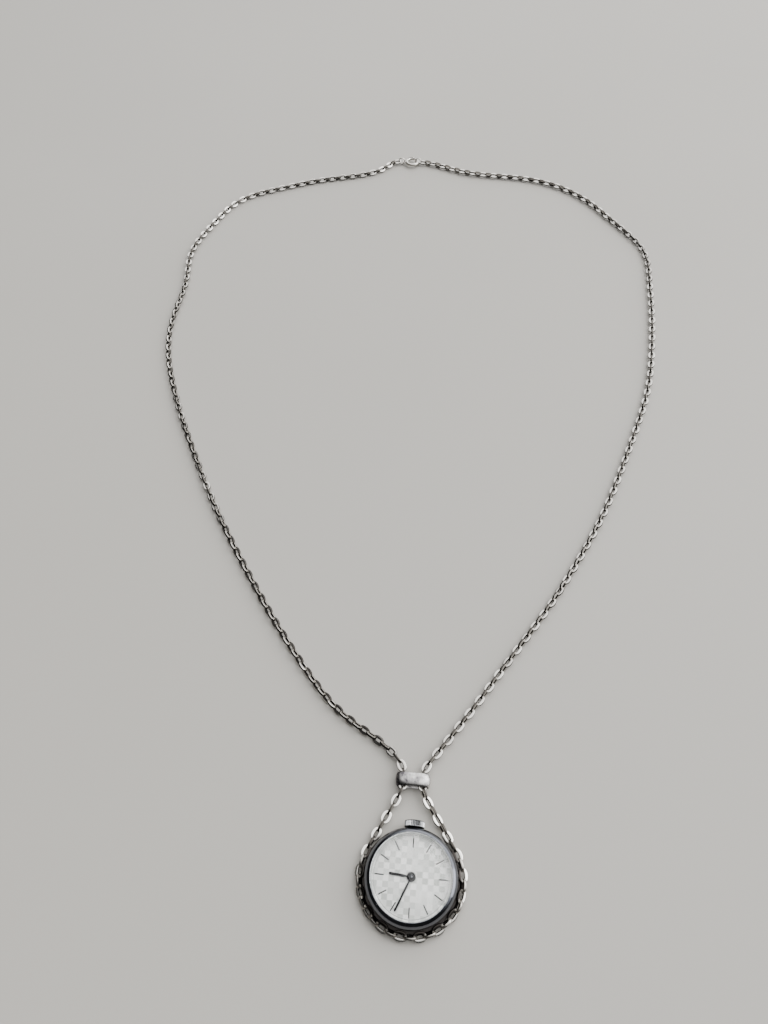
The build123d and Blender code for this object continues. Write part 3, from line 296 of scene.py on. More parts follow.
# Bezel: a turned steel ring, chromed, polished and pressed on the band, sloping up to the crystal. It mirrors
# the room, so it is dark on one side and bright on the other, with a cloudy haze from years against clothes.
bezel_chrome, bezel_shader = surface("polished_chrome", Metallic=1.0, Roughness=0.14)
place = add(bezel_chrome, "ShaderNodeTexCoord")
cloudy = add(bezel_chrome, "ShaderNodeTexNoise", {"Vector": place.outputs["Object"], "Scale": 0.26 / MM,
                                                  "Detail": 5.0})
chrome_tone = add(bezel_chrome, "ShaderNodeMixRGB", {"Fac": cloudy.outputs["Fac"], "Color1": colour("55575D"),
                                                     "Color2": colour("74767C")})
haze = add(bezel_chrome, "ShaderNodeMapRange", {"Value": cloudy.outputs["Fac"], "From Min": 0.3,
                                                "From Max": 0.7, "To Min": 0.09, "To Max": 0.24})
linked(bezel_chrome, bezel_shader, Base_Color=chrome_tone.outputs["Color"], Roughness=haze.outputs[0])
bezel_radius, bezel_low, slope_low, bezel_edge = 12.5, 3.62, 4.42, 0.06
neck_fit, ledge, glass_bore, lip_height, lip_edge = 11.82, 4.34, 11.02, 5.9, 0.04
foot, lip = Vector((bezel_radius, slope_low)), Vector((11.16, lip_height))
bulge, slope_steps = 0.17, 14
outwards = Vector((lip.y - foot.y, foot.x - lip.x)).normalized()
slope = []
for step in range(slope_steps + 1):
    spot = foot.lerp(lip, step / slope_steps) + outwards * bulge * math.sin(math.pi * step / slope_steps)
    slope.append((min(spot.x, bezel_radius), min(spot.y, lip_height + bezel_edge)))
bezel_outline = [(neck_fit, bezel_low), (bezel_radius - bezel_edge, bezel_low),
                 (bezel_radius, bezel_low + bezel_edge)] + slope
bezel_outline += [(11.12, lip_height + lip_edge), (glass_bore + lip_edge, lip_height + lip_edge),
                  (glass_bore, lip_height), (glass_bore, ledge), (neck_fit, ledge)]
bezel = piece("polished_bezel", *lathe(bezel_outline, 192), bezel_chrome)
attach(bezel, "watch")
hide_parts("bezel")


# Crystal: a domed acrylic glass moulded with a straight rim and pressed into the bezel, clear and glossy.
# Acrylic's IOR is 1.49. It is lower here, because in this light the true one lays a glare over the dial.
acrylic = surface("clear_acrylic", Base_Color=colour("FFFFFF"), Roughness=0.03, IOR=1.22,
                  Transmission_Weight=1.0)[0]
rim, bore, top, wall, seat, rim_top, bore_top = 11.0, 10.2, 8.06, 0.8, 4.76, 5.96, 5.56


def dome(radius, rim_height, crown_height, steps=14):
    """The (radius, height) points of a spherical cap, from its rim to its middle"""
    rise = crown_height - rim_height
    sphere = (radius ** 2 + rise ** 2) / (2 * rise)
    half = math.asin(radius / sphere)
    turns = [half * (1 - i / steps) for i in range(steps + 1)]
    return [(max(sphere * math.sin(t), 0.01), crown_height - sphere * (1 - math.cos(t))) for t in turns]


crystal_outline = [(bore, seat), (rim, seat)] + dome(rim, rim_top, top)
crystal_outline += dome(bore, bore_top, top - wall)[::-1]
crystal = piece("domed_crystal", *lathe(crystal_outline, 160), acrylic)
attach(crystal, "watch")
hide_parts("crystal")


# Dial ring: a thin sloping ring of turned brass between the dial and the crystal, held down by the crystal.
# Its rhodium plating is bright and nearly smooth, so it shows as a pale edge round the dial.
rhodium, rhodium_shader = surface("bright_rhodium", Metallic=1.0, Roughness=0.22)
place = add(rhodium, "ShaderNodeTexCoord")
dust = add(rhodium, "ShaderNodeTexNoise", {"Vector": place.outputs["Object"], "Scale": 0.9 / MM,
                                           "Detail": 3.0})
plating = add(rhodium, "ShaderNodeMixRGB", {"Fac": dust.outputs["Fac"], "Color1": colour("C9CBCB"),
                                            "Color2": colour("E4E6E6")})
linked(rhodium, rhodium_shader, Base_Color=plating.outputs["Color"])
ring_foot, ring_crest, ring_back, ring_low, ring_top = 10.5, 10.9, 11.0, 3.89, 4.74
ring_outline = softened([(ring_foot, ring_low), (ring_back, ring_low), (ring_back, ring_top),
                         (ring_crest, ring_top)], 0.03)
inner_ring = piece("sloping_dial_ring", *lathe(ring_outline, 192), rhodium)
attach(inner_ring, "watch")
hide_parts("dial_ring")


# Dial: silvered brass, grained in a check of small squares whose lines run across in one and along in the
# next, so neighbours take the light differently. A thin ring with twelve ticks is printed on it in grey, and
# the place of the lettering is bare. The grain is drawn coarse enough to show.
square, grain_pitch, grain_stretch = 1.5, 0.05, 9
silvered, silvered_shader = surface("silvered_check", Metallic=0.1, Roughness=0.45)
place = add(silvered, "ShaderNodeTexCoord")
cells = add(silvered, "ShaderNodeVectorMath", {0: place.outputs["Object"], 1: (1 / (square * MM),) * 3},
            operation="MULTIPLY")
cell = add(silvered, "ShaderNodeVectorMath", {0: cells.outputs[0]}, operation="FLOOR")
chance = add(silvered, "ShaderNodeTexWhiteNoise", {"Vector": cell.outputs[0]}, noise_dimensions="2D")
parts = add(silvered, "ShaderNodeSeparateXYZ", {"Vector": cell.outputs[0]})
both = add(silvered, "ShaderNodeMath", {0: parts.outputs["X"], 1: parts.outputs["Y"]}, operation="ADD")
half = add(silvered, "ShaderNodeMath", {0: both.outputs[0], 1: 2.0}, operation="FLOORED_MODULO")
narrow, long = 1 / (grain_pitch * MM), 1 / (grain_stretch * grain_pitch * MM)
across = add(silvered, "ShaderNodeVectorMath", {0: place.outputs["Object"], 1: (long, narrow, 1)},
             operation="MULTIPLY")
along = add(silvered, "ShaderNodeVectorMath", {0: place.outputs["Object"], 1: (narrow, long, 1)},
            operation="MULTIPLY")
lines_across = add(silvered, "ShaderNodeTexNoise", {"Vector": across.outputs[0], "Scale": 1.0, "Detail": 2.0})
lines_along = add(silvered, "ShaderNodeTexNoise", {"Vector": along.outputs[0], "Scale": 1.0, "Detail": 2.0})
grained = add(silvered, "ShaderNodeMixRGB", {"Fac": half.outputs[0], "Color1": lines_across.outputs["Fac"],
                                             "Color2": lines_along.outputs["Fac"]})
# The squares' lighter and darker tones are a painted sheen for how each one's grain takes the light:
# alternating between neighbours and varying at random.
shade = add(silvered, "ShaderNodeMath", {0: chance.outputs["Value"], 1: 0.55}, operation="MULTIPLY")
leaning = add(silvered, "ShaderNodeMath", {0: half.outputs[0], 1: 0.30, 2: shade.outputs[0]},
              operation="MULTIPLY_ADD")
fine = add(silvered, "ShaderNodeMath", {0: grained.outputs["Color"], 1: 0.25, 2: leaning.outputs[0]},
           operation="MULTIPLY_ADD")
silver = add(silvered, "ShaderNodeMixRGB", {"Fac": fine.outputs[0], "Color1": colour("FFFFFC"),
                                            "Color2": colour("B8BBB6")})
scored = add(silvered, "ShaderNodeBump", {"Height": grained.outputs["Color"], "Strength": 0.2,
                                          "Distance": 0.01 * MM})
linked(silvered, silvered_shader, Base_Color=silver.outputs["Color"], Normal=scored.outputs["Normal"])
dial_back, dial_face, dial_hole, dial_radius = 3.62, 3.87, 0.65, 11.0
dial_outline = softened([(dial_hole, dial_back), (dial_radius, dial_back), (dial_radius, dial_face),
                         (dial_hole, dial_face)], 0.02)
dial = piece("silvered_dial", *lathe(dial_outline, 160), silvered)
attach(dial, "watch")
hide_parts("dial")

print_ink, print_shader = surface("grey_dial_print", Roughness=0.5)
place = add(print_ink, "ShaderNodeTexCoord")
coverage = add(print_ink, "ShaderNodeTexNoise", {"Vector": place.outputs["Object"], "Scale": 0.9 / MM,
                                                 "Detail": 3.0})
inked = add(print_ink, "ShaderNodeMixRGB", {"Fac": coverage.outputs["Fac"], "Color1": colour("767C7A"),
                                            "Color2": colour("888E8C")})
linked(print_ink, print_shader, Base_Color=inked.outputs["Color"])
print_low, ring_high, tick_high = dial_face + 0.001, dial_face + 0.006, dial_face + 0.008
ring_inner, ring_outer = 10.02, 10.09
track_outline = [(ring_inner, print_low), (ring_outer, print_low), (ring_outer, ring_high),
                 (ring_inner, ring_high)]
track = piece("minute_track", *lathe(track_outline, 192), print_ink)
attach(track, "watch")


def radial_bars(levels):
    """Twelve bars round the dial, from the inner radius, outer radius, half width and height of each level"""
    points, faces = [], []
    for hour in range(12):
        angle = math.radians(30 * hour)
        out, side = (math.sin(angle), math.cos(angle)), (math.cos(angle), -math.sin(angle))
        start = len(points)
        for inner, outer, half_width, height in levels:
            for reach, width in ((inner, half_width), (outer, half_width), (outer, -half_width),
                                 (inner, -half_width)):
                points.append((out[0] * reach + side[0] * width, out[1] * reach + side[1] * width, height))
        last = start + 4 * (len(levels) - 1)
        faces += [tuple(range(start, start + 4)), tuple(range(last, last + 4))]
        for level in range(start, last, 4):
            for i in range(4):
                j = (i + 1) % 4
                faces.append((level + i, level + j, level + 4 + j, level + 4 + i))
    return points, faces


tick_inner, tick_outer, half_tick = 10.05, 10.35, 0.035
tick_levels = [(tick_inner, tick_outer, half_tick, height) for height in (print_low, tick_high)]
ticks = piece("minute_ticks", *radial_bars(tick_levels), print_ink)
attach(ticks, "watch")


# Hour markers and hands: thin brass under black lacquer, the hands stamped with a round boss and pressed on
# their pipes. A bright pin shows in the middle of the minute hand.
lacquer, lacquer_shader = surface("black_lacquer", Roughness=0.5, Specular_IOR_Level=0.18)
place = add(lacquer, "ShaderNodeTexCoord")
specks = add(lacquer, "ShaderNodeTexNoise", {"Vector": place.outputs["Object"], "Scale": 1.8 / MM,
                                             "Detail": 3.0})
black = add(lacquer, "ShaderNodeMixRGB", {"Fac": specks.outputs["Fac"], "Color1": colour("050506"),
                                          "Color2": colour("131417")})
linked(lacquer, lacquer_shader, Base_Color=black.outputs["Color"])
reaches = [math.hypot(v.co.x, v.co.y) / MM for v in nodes["hour_markers"].data.vertices]
marker_inner, marker_outer = min(reaches), max(reaches)
marker_low, marker_high = (corner.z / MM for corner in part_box("hour_markers"))
half_marker, marker_bevel, bevel_height = 0.15, 0.03, 0.02
marker_levels = [(marker_inner, marker_outer, half_marker, marker_low),
                 (marker_inner, marker_outer, half_marker, marker_high - bevel_height),
                 (marker_inner + marker_bevel, marker_outer - marker_bevel, half_marker - marker_bevel,
                  marker_high)]
markers = piece("lacquered_markers", *radial_bars(marker_levels), lacquer)
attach(markers, "watch")
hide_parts("hour_markers")

boss, boss_steps, root_length, neck_share, tip_length = 1.2, 40, 0.2, 0.22, 0.25
lower_bevel, upper_bevel, least_reach = 0.03, 0.04, 0.3


def baton(name, node, angle, length, root, blade, tip, pipe):
    """A hand whose neck widens into a blade, with a boss round the pipe; the angle is clockwise from -Y"""
    low, high = (corner.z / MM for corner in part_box(node))
    meet = math.asin(root / 2 / boss)
    turns = [meet + (2 * math.pi - 2 * meet) * i / boss_steps for i in range(boss_steps + 1)]
    outline = [(boss * math.sin(t), boss * math.cos(t)) for t in turns]
    neck = boss + neck_share * (length - boss)
    left = [(-root / 2, boss + root_length), (-blade / 2, neck), (-blade / 2, length - tip_length),
            (-tip / 2, length)]
    outline += left + [(-x, y) for x, y in left[::-1]]
    direction = math.radians(180 + angle)
    out, side = (math.sin(direction), math.cos(direction)), (math.cos(direction), -math.sin(direction))
    count = len(outline)
    points = []
    for inset, height in ((lower_bevel, low), (0.0, low + lower_bevel), (0.0, high - upper_bevel),
                          (upper_bevel, high)):
        for x, y in outline:
            scale = 1 - inset / max(math.hypot(x, y), least_reach)
            x = x - math.copysign(min(inset, abs(x)), x) if y > boss else x * scale
            y = y * scale
            points.append((x * side[0] + y * out[0], x * side[1] + y * out[1], height))
    faces = []
    for level in range(3):
        for i in range(count):
            j = (i + 1) % count
            here, above = level * count, (level + 1) * count
            faces.append((here + i, here + j, above + j, above + i))
    faces += [tuple(range(count))[::-1], tuple(range(3 * count, 4 * count))]
    hand = piece(name, points, faces, lacquer)
    hole_outline = [(0.0, low - 1), (pipe, low - 1), (pipe, high + 1), (0.0, high + 1)]
    cut(hand, piece("pipe_hole", *lathe(hole_outline, 32)))
    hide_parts(node)
    return hand


hour_baton = baton("hour_baton", "hour_hand", angle=94.5, length=6.0, root=0.44, blade=0.70, tip=0.44,
                   pipe=0.56)
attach(hour_baton, "hour_hand")
minute_baton = baton("minute_baton", "minute_hand", angle=24.0, length=9.3, root=0.36, blade=0.52, tip=0.30,
                     pipe=0.36)
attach(minute_baton, "minute_hand")
pin_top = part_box("cannon_pinion")[1].z / MM
pin_outline = [(0.01, pin_top), (0.34, pin_top), (0.33, pin_top + 0.03), (0.25, pin_top + 0.08),
               (0.12, pin_top + 0.11), (0.01, pin_top + 0.12)]
pin = piece("hand_pin", *lathe(pin_outline, 32), bezel_chrome)
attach(pin, "minute_hand")


# Crown: turned from steel and chromed, with straight flutes for the fingertips and a polished, slightly
# domed end. The flutes are coloured dark. The stem screws into it and a soft ring seals it on the tube.
crown_radius, solid_radius, dark_flute_radius = 2.75, 2.3, 2.56
flutes, flute_depth, flute_start, flute_end, flute_fade = 34, 0.26, 12.78, 14.24, 0.12
dark_flute_start, dark_flute_end = 12.85, 14.2


def fluted(r, z, angle):
    """The crown's radius at this angle, with round grooves that fade out at both ends"""
    if r <= solid_radius:
        return r
    fade_in, fade_out = (z - flute_start) / flute_fade, (flute_end - z) / flute_fade
    depth = flute_depth * min(max(fade_in, 0), 1) * min(max(fade_out, 0), 1)
    return r - depth * (0.5 - 0.5 * math.cos(flutes * angle)) ** 0.7


crown_near, crown_far, face_radius, socket_radius, socket_end = 12.65, 14.4, 2.55, 0.95, 13.76
crown_outline = [(1.0, crown_near), (face_radius, crown_near), (crown_radius, 12.76)]
crown_outline += [(crown_radius, 12.8 + 0.1 * i) for i in range(15)]
crown_outline += [(crown_radius, 14.25), (face_radius, 14.34), (1.6, 14.39), (near_axis, crown_far),
                  (near_axis, socket_end), (socket_radius, socket_end), (socket_radius, 12.68)]
crown_points, crown_faces = lathe(crown_outline, flutes * 6, fluted)
crown_chrome = ring_brushed_steel("polished_crown_chrome", "8B8C8E", "B4B5B6", 0.2, 0.5)
crown_flute_dark = ring_brushed_steel("dark_crown_flutes", "101011", "242425", 0.5, 0.3)
crown = piece("fluted_crown", [(x, z, crown_centre - y) for x, y, z in crown_points], crown_faces,
              crown_chrome, crown_flute_dark)
for face in crown.data.polygons:
    x, y, z = face.center / MM
    in_flute = solid_radius < math.hypot(x, z - crown_centre) < dark_flute_radius
    face.material_index = int(in_flute and dark_flute_start < y < dark_flute_end)
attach(crown, "crown")
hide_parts("crown")


# The movement: nickel-plated plates and bridges held by screws, brass wheels on steel arbors, blued springs
# and rubber seals. It is shut in the case and shows only when the back comes off, so the CAD's solids serve.
def worn_metal(name, dark, light, roughness, grain_size, relief_depth):
    """Plain metal with a faint cloudy tone and a fine grain of the given size in millimetres"""
    metal, shader = surface(name, Metallic=1.0, Roughness=roughness)
    place = add(metal, "ShaderNodeTexCoord")
    clouds = add(metal, "ShaderNodeTexNoise", {"Vector": place.outputs["Object"],
                                               "Scale": 1 / (grain_size * MM), "Detail": 4.0})
    tint = add(metal, "ShaderNodeMixRGB", {"Fac": clouds.outputs["Fac"], "Color1": colour(dark),
                                           "Color2": colour(light)})
    relief = add(metal, "ShaderNodeBump", {"Height": clouds.outputs["Fac"], "Strength": 0.3,
                                           "Distance": relief_depth * MM})
    linked(metal, shader, Base_Color=tint.outputs["Color"], Normal=relief.outputs["Normal"])
    return metal


nickel = worn_metal("frosted_nickel", "A9A69C", "C4C1B6", 0.38, 0.12, 0.01)
brass = worn_metal("lacquered_brass", "B08A3C", "D2AC5A", 0.28, 0.3, 0.004)
arbor_steel = worn_metal("polished_movement_steel", "8B8D90", "AEB0B3", 0.2, 0.4, 0.003)
blued = worn_metal("blued_spring_steel", "26335C", "3C4C7E", 0.25, 0.5, 0.002)
sealing, sealing_shader = surface("nitrile_rubber", Roughness=0.7)
place = add(sealing, "ShaderNodeTexCoord")
bloom = add(sealing, "ShaderNodeTexNoise", {"Vector": place.outputs["Object"], "Scale": 0.5 / MM,
                                            "Detail": 3.0})
rubber = add(sealing, "ShaderNodeMixRGB", {"Fac": bloom.outputs["Fac"], "Color1": colour("131416"),
                                           "Color2": colour("1D1E20")})
linked(sealing, sealing_shader, Base_Color=rubber.outputs["Color"])
finishes = {
    nickel: ["movement_ring", "main_plate", "barrel_bridge", "train_bridge", "balance_cock",
             "pallet_bridge"],
    brass: ["mainspring_barrel", "barrel_cover", "centre_wheel", "third_wheel", "fourth_wheel",
            "balance_wheel", "minute_wheel", "hour_wheel"],
    arbor_steel: ["bridge_screws", "barrel_arbor", "ratchet_wheel", "crown_wheel", "click", "escape_wheel",
                  "pallet_fork", "cannon_pinion", "setting_wheel", "winding_pinion", "sliding_pinion",
                  "winding_stem", "setting_lever", "crown_tube"],
    blued: ["mainspring", "click_spring", "hairspring"],
    sealing: ["case_back_gasket", "crown_gasket"],
}
for finish, names in finishes.items():
    for name in names:
        nodes[name].data.materials.clear()
        nodes[name].data.materials.append(finish)


# Chain: oval links of silver-toned metal, closed through each other and rolled flat, with bright worn faces,
# edges and outer walls darkened as painted shade, and holes darkened as painted shade and tarnish. By the
# case they are darkened towards the case as painted shade and tarnish, so only their outer halves are bright.
# Each link lies where its CAD link does, but is thicker and twisted further, as in the photo.
worn_silver = worn_metal("worn_silver_faces", "908C87", "DAD7D1", 0.25, 2.6, 0.012)
# The edges and the hole walls are darker copies of the faces' silver: painted shade, with tarnish in the
# holes.
edges_painted_shade = worn_metal("silver_edges_painted_shade", "242221", "4C4945", 0.3, 1.2, 0.012)
walls_shade_and_tarnish = worn_metal("silver_walls_painted_shade_and_tarnish", "0B0A0A", "1D1A19", 0.45, 0.8, 0.010)
unevenness, painted_shade_from, painted_shade_until = 0.8, 13.8, 14.9


def shade_and_tarnish_towards_case(name, dark, light, roughness):
    """Chain metal by the case: darkened towards the case as painted shade and tarnish, bright further out
    where clothes rub it
    """
    metal, shader = surface(name, Metallic=1.0, Roughness=roughness)
    place = add(metal, "ShaderNodeTexCoord")
    flat = add(metal, "ShaderNodeVectorMath", {0: place.outputs["Object"], 1: (1, 1, 0)},
               operation="MULTIPLY")
    reach = add(metal, "ShaderNodeVectorMath", {0: flat.outputs[0]}, operation="LENGTH")
    patches = add(metal, "ShaderNodeTexNoise", {"Vector": place.outputs["Object"], "Scale": 0.6 / MM,
                                                "Detail": 4.0})
    uneven = add(metal, "ShaderNodeMath", {0: patches.outputs["Fac"], 1: unevenness * MM,
                                           2: reach.outputs["Value"]}, operation="MULTIPLY_ADD")
    # rubbed is the painted shade mask: the colour darkens towards the case, as shade and tarnish, and is
    # bright further out.
    rubbed = add(metal, "ShaderNodeMapRange", {"Value": uneven.outputs[0], "From Min": painted_shade_from * MM,
                                               "From Max": painted_shade_until * MM},
                 interpolation_type="SMOOTHSTEP")
    tint = add(metal, "ShaderNodeMixRGB", {"Fac": rubbed.outputs[0], "Color1": colour(dark),
                                           "Color2": colour(light)})
    relief = add(metal, "ShaderNodeBump", {"Height": patches.outputs["Fac"], "Strength": 0.3,
                                           "Distance": 0.01 * MM})
    linked(metal, shader, Base_Color=tint.outputs["Color"], Normal=relief.outputs["Normal"])
    return metal


groove_silver = shade_and_tarnish_towards_case("silver_shade_and_tarnish_by_the_case", "2F2C2A", "D8D5CF", 0.27)
groove_edges = shade_and_tarnish_towards_case("silver_edges_by_the_case", "1B1A19", "A09C96", 0.3)


def rounded_oval(half_length, half_width, power, turn):
    """A point of an oval at this turn; the higher the power, the nearer it comes to a rectangle"""
    c, s = math.cos(turn), math.sin(turn)
    return (math.copysign(half_length * abs(c) ** (2 / power), c),
            math.copysign(half_width * abs(s) ** (2 / power), s))


link_stations, half_thick, rounding = 24, 0.35, 0.15
link_outside, link_hole = (1.85, 1.34, 2.3), (1.24, 0.44, 3.0)
# The strips of a link's section: its faces above and below (0), its outer wall and edges (1), its hole (2).
# The edges are darkened as painted shade and the hole as painted shade and tarnish.
strip_finish_and_painted_shade = (0, 1, 1, 1, 0, 0, 1, 2, 2, 2, 1, 0)
link_points, link_faces, link_finish_and_painted_shade = [], [], []
for station in range(link_stations):
    turn = 2 * math.pi * (station + 0.5) / link_stations
    outside = Vector(rounded_oval(*link_outside, turn))
    inside = Vector(rounded_oval(*link_hole, turn))
    width = (outside - inside).length
    ring = []
    for across_wire, height, first in ((width - rounding, half_thick - rounding, 90),
                                       (width - rounding, rounding - half_thick, 0),
                                       (rounding, rounding - half_thick, -90),
                                       (rounding, half_thick - rounding, -180)):
        for step in range(3):
            angle = math.radians(first - 45 * step)
            ring.append((across_wire + rounding * math.cos(angle), height + rounding * math.sin(angle)))
    for across_wire, height in ring:
        spot = inside.lerp(outside, across_wire / width)
        link_points.append((spot.x, spot.y, height))
    count = len(ring)
    for i in range(count):
        here, there = station * count, (station + 1) % link_stations * count
        link_faces.append((here + i, there + i, there + (i + 1) % count, here + (i + 1) % count))
        link_finish_and_painted_shade.append(strip_finish_and_painted_shade[i])
link_points = np.array(link_points)


def cad_links(node):
    """The middle, long direction and cross direction of each separate link of a CAD node, in chain order"""
    shape = bmesh.new()
    shape.from_mesh(nodes[node].data)
    bmesh.ops.remove_doubles(shape, verts=shape.verts, dist=0.002 * MM)
    found, seen = [], set()
    for start in shape.verts:
        if start in seen:
            continue
        group, waiting = [], [start]
        seen.add(start)
        while waiting:
            vertex = waiting.pop()
            group.append(vertex.co / MM)
            for edge in vertex.link_edges:
                other = edge.other_vert(vertex)
                if other not in seen:
                    seen.add(other)
                    waiting.append(other)
        corners = np.array(group)
        middle = corners.mean(0)
        axes = np.linalg.eigh(np.cov((corners - middle).T))[1]
        found.append((middle, axes[:, 2], axes[:, 1]))
    shape.free()
    return found


half_link_width, half_link_stock = 1.35, 0.26


def half_height(turn):
    """Half the height of two neighbouring links rolled so far, in millimetres"""
    s, c = abs(math.sin(turn)), abs(math.cos(turn))
    return half_link_width * max(s, c) + half_link_stock * min(s, c)


def value_at(table, share):
    """The value at this share of the way through a table of shares and values"""
    for (x0, y0), (x1, y1) in zip(table, table[1:]):
        if share <= x1:
            return y0 + (y1 - y0) * (share - x0) / (x1 - x0)


# Each twist is a table of degrees added along the way, from the lower or first end of the stretch.
loose = random.Random(11)
looseness, lowest = 5, 0.005
case_twist = [(0, 0), (0.1, 16), (0.22, 21), (0.35, 5), (0.65, 5), (0.78, 21), (0.9, 16), (1, 0)]
right_twist = [(0, 0), (0.3, 0), (0.45, 22), (0.86, 22), (0.94, 0), (1, 0)]
left_twist = [(0, 0), (0.012, 0), (0.05, -35), (0.12, -35), (0.2, -15), (0.26, -18), (0.33, 8), (0.38, -18),
              (0.42, 0), (0.48, -25), (0.56, -25), (0.62, 0), (0.68, 15), (0.74, 38), (0.96, 42), (1, 8)]
drop_twist = [(0, 0), (0.25, 20), (0.75, 20), (1, 0)]
straight = [(0, 0), (1, 0)]
# The body, the CAD node, its twist table, and the shares of that table where it starts and ends.
chain_bodies = [("watch", "chain_round_case", case_twist, 0, 1), ("watch", "chain_left_drop", straight, 0, 1),
                ("watch", "chain_right_drop", drop_twist, 0, 1),
                ("necklace_low", "chain_left_1", left_twist, 0, 0.34),
                ("necklace_low", "chain_right_1", straight, 0, 1),
                ("necklace_middle", "chain_left_2", left_twist, 0.34, 0.588),
                ("necklace_middle", "chain_right_2", straight, 0, 1),
                ("necklace_top", "chain_left_3", left_twist, 0.588, 1),
                ("necklace_top", "chain_right_3", right_twist, 0, 1)]
for body, stretch, twists, first, last in chain_bodies:
    points, faces, face_finish_and_painted_shade = [], [], []
    found = cad_links(stretch)
    for number, (middle, along, across) in enumerate(found):
        ahead_by = found[min(number + 1, len(found) - 1)][0] - found[max(number - 1, 0)][0]
        if along @ ahead_by < 0:
            along = -along
        side = np.cross((0, 0, 1), along)
        side /= np.linalg.norm(side)
        up = np.cross(along, side)
        lying = math.atan2(across @ up, across @ side)
        twist = value_at(twists, first + (last - first) * number / len(found))
        turned = lying + math.radians(twist + loose.uniform(-looseness, looseness))
        wide = side * math.cos(turned) + up * math.sin(turned)
        thick = np.cross(along, wide)
        laid = middle + link_points @ np.array([along, wide, thick])
        laid[:, 2] += half_height(lying + math.radians(twist)) - half_height(lying)
        laid[:, 2] = np.maximum(laid[:, 2], lowest)
        start = len(points)
        points += laid.tolist()
        faces += [tuple(start + i for i in face) for face in link_faces]
        face_finish_and_painted_shade += link_finish_and_painted_shade
    # By the case the links take the silver darkened towards the case as painted shade and tarnish.
    flat_faces = groove_silver if body == "watch" else worn_silver
    edge_faces = groove_edges if stretch == "chain_round_case" else edges_painted_shade
    links = piece(stretch + "_links", points, faces, flat_faces, edge_faces, walls_shade_and_tarnish)
    for face, finish in zip(links.data.polygons, face_finish_and_painted_shade):
        face.material_index = finish
    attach(links, body)
    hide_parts(stretch)


# Slider: a short length of oval tube, rounded over outside, that holds the two strands together.
# Its plating is worn to a soft satin on top with blotches of tarnish, and its colour is painted darker
# towards its left end as shade on the side away from the light.
slider_metal, slider_shader = surface("satin_worn_silver", Metallic=1.0, Roughness=0.3)
place = add(slider_metal, "ShaderNodeTexCoord")
blotches = add(slider_metal, "ShaderNodeTexNoise", {"Vector": place.outputs["Object"], "Scale": 0.42 / MM,
                                                    "Detail": 6.0, "Roughness": 0.65})
along_slider = add(slider_metal, "ShaderNodeSeparateXYZ", {"Vector": place.outputs["Object"]})
# Painted shade: the colour darkens towards the slider's left end, on the side away from the light.
painted_shade_to_left = add(slider_metal, "ShaderNodeMapRange", {"Value": along_slider.outputs["X"], "From Min": -6.8 * MM,
                                                   "From Max": 1.2 * MM, "To Min": -0.14, "To Max": 0.06})
tarnish_and_painted_shade = add(slider_metal, "ShaderNodeMath", {0: blotches.outputs["Fac"], 1: painted_shade_to_left.outputs[0]},
           operation="ADD")
patchy = add(slider_metal, "ShaderNodeValToRGB", {"Fac": tarnish_and_painted_shade.outputs[0]})
patchy.color_ramp.elements[0].position = 0.36
patchy.color_ramp.elements[0].color = colour("4F4C50")
patchy.color_ramp.elements[1].position = 0.62
patchy.color_ramp.elements[1].color = colour("B9B7B5")
rubbed = add(slider_metal, "ShaderNodeMapRange", {"Value": blotches.outputs["Fac"], "From Min": 0.35,
                                                  "From Max": 0.65, "To Min": 0.42, "To Max": 0.24})
dents = add(slider_metal, "ShaderNodeBump", {"Height": blotches.outputs["Fac"], "Strength": 0.35,
                                             "Distance": 0.04 * MM})
linked(slider_metal, slider_shader, Base_Color=patchy.outputs["Color"], Roughness=rubbed.outputs[0],
       Normal=dents.outputs["Normal"])
low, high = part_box("slider")
middle = (low + high) / 2 / MM
half_long, half_high = (high.y - low.y) / 2 / MM, (high.z - low.z) / 2 / MM
half_wide = (high.x - low.x) / 2 / MM
sheet, end_inset, edge_inset, edge_power, turned_in, squareness = 0.50, 0.46, 0.40, 2.6, 0.1, 3.0
barrel = [(edge_inset * abs(t) ** edge_power, half_long * t) for t in [i / 12 - 1 for i in range(25)]]
band_section = [(sheet, -half_long + turned_in), (end_inset, -half_long)] + barrel[1:-1]
band_section += [(end_inset, half_long), (sheet, half_long - turned_in)]
points, faces = [], []
stations, count = 72, len(band_section)
for number in range(stations):
    turn = 2 * math.pi * number / stations
    for inset, y in band_section:
        x, z = rounded_oval(half_wide - inset, half_high - inset, squareness, turn)
        points.append((middle.x + x, middle.y + y, middle.z + z))
    here, there = number * count, (number + 1) % stations * count
    faces += [(here + i, there + i, there + (i + 1) % count, here + (i + 1) % count) for i in range(count)]
slider = piece("oval_slider", points, faces, slider_metal, sharp=50)
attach(slider, "slider")
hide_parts("slider")


# Clasp: a spring ring rolled from tube, with a flat lug, and a bolt inside that a thumb piece draws back
# through a slot. A round wire ring joins it to one strand and another ends the other strand.

# Its middle lies on a line from the watch's middle that leans this much to the left. The ring's mouth starts
# at this angle in degrees, and the gap is this wide.
lean, clasp_y, clasp_z = -0.0687, 329.2, 1.5
clasp_x = lean * clasp_y
mouth, gap = 20, 50
ring_radius, tube_radius, hollow_radius, bolt_radius = 2.75, 0.72, 0.42, 0.29


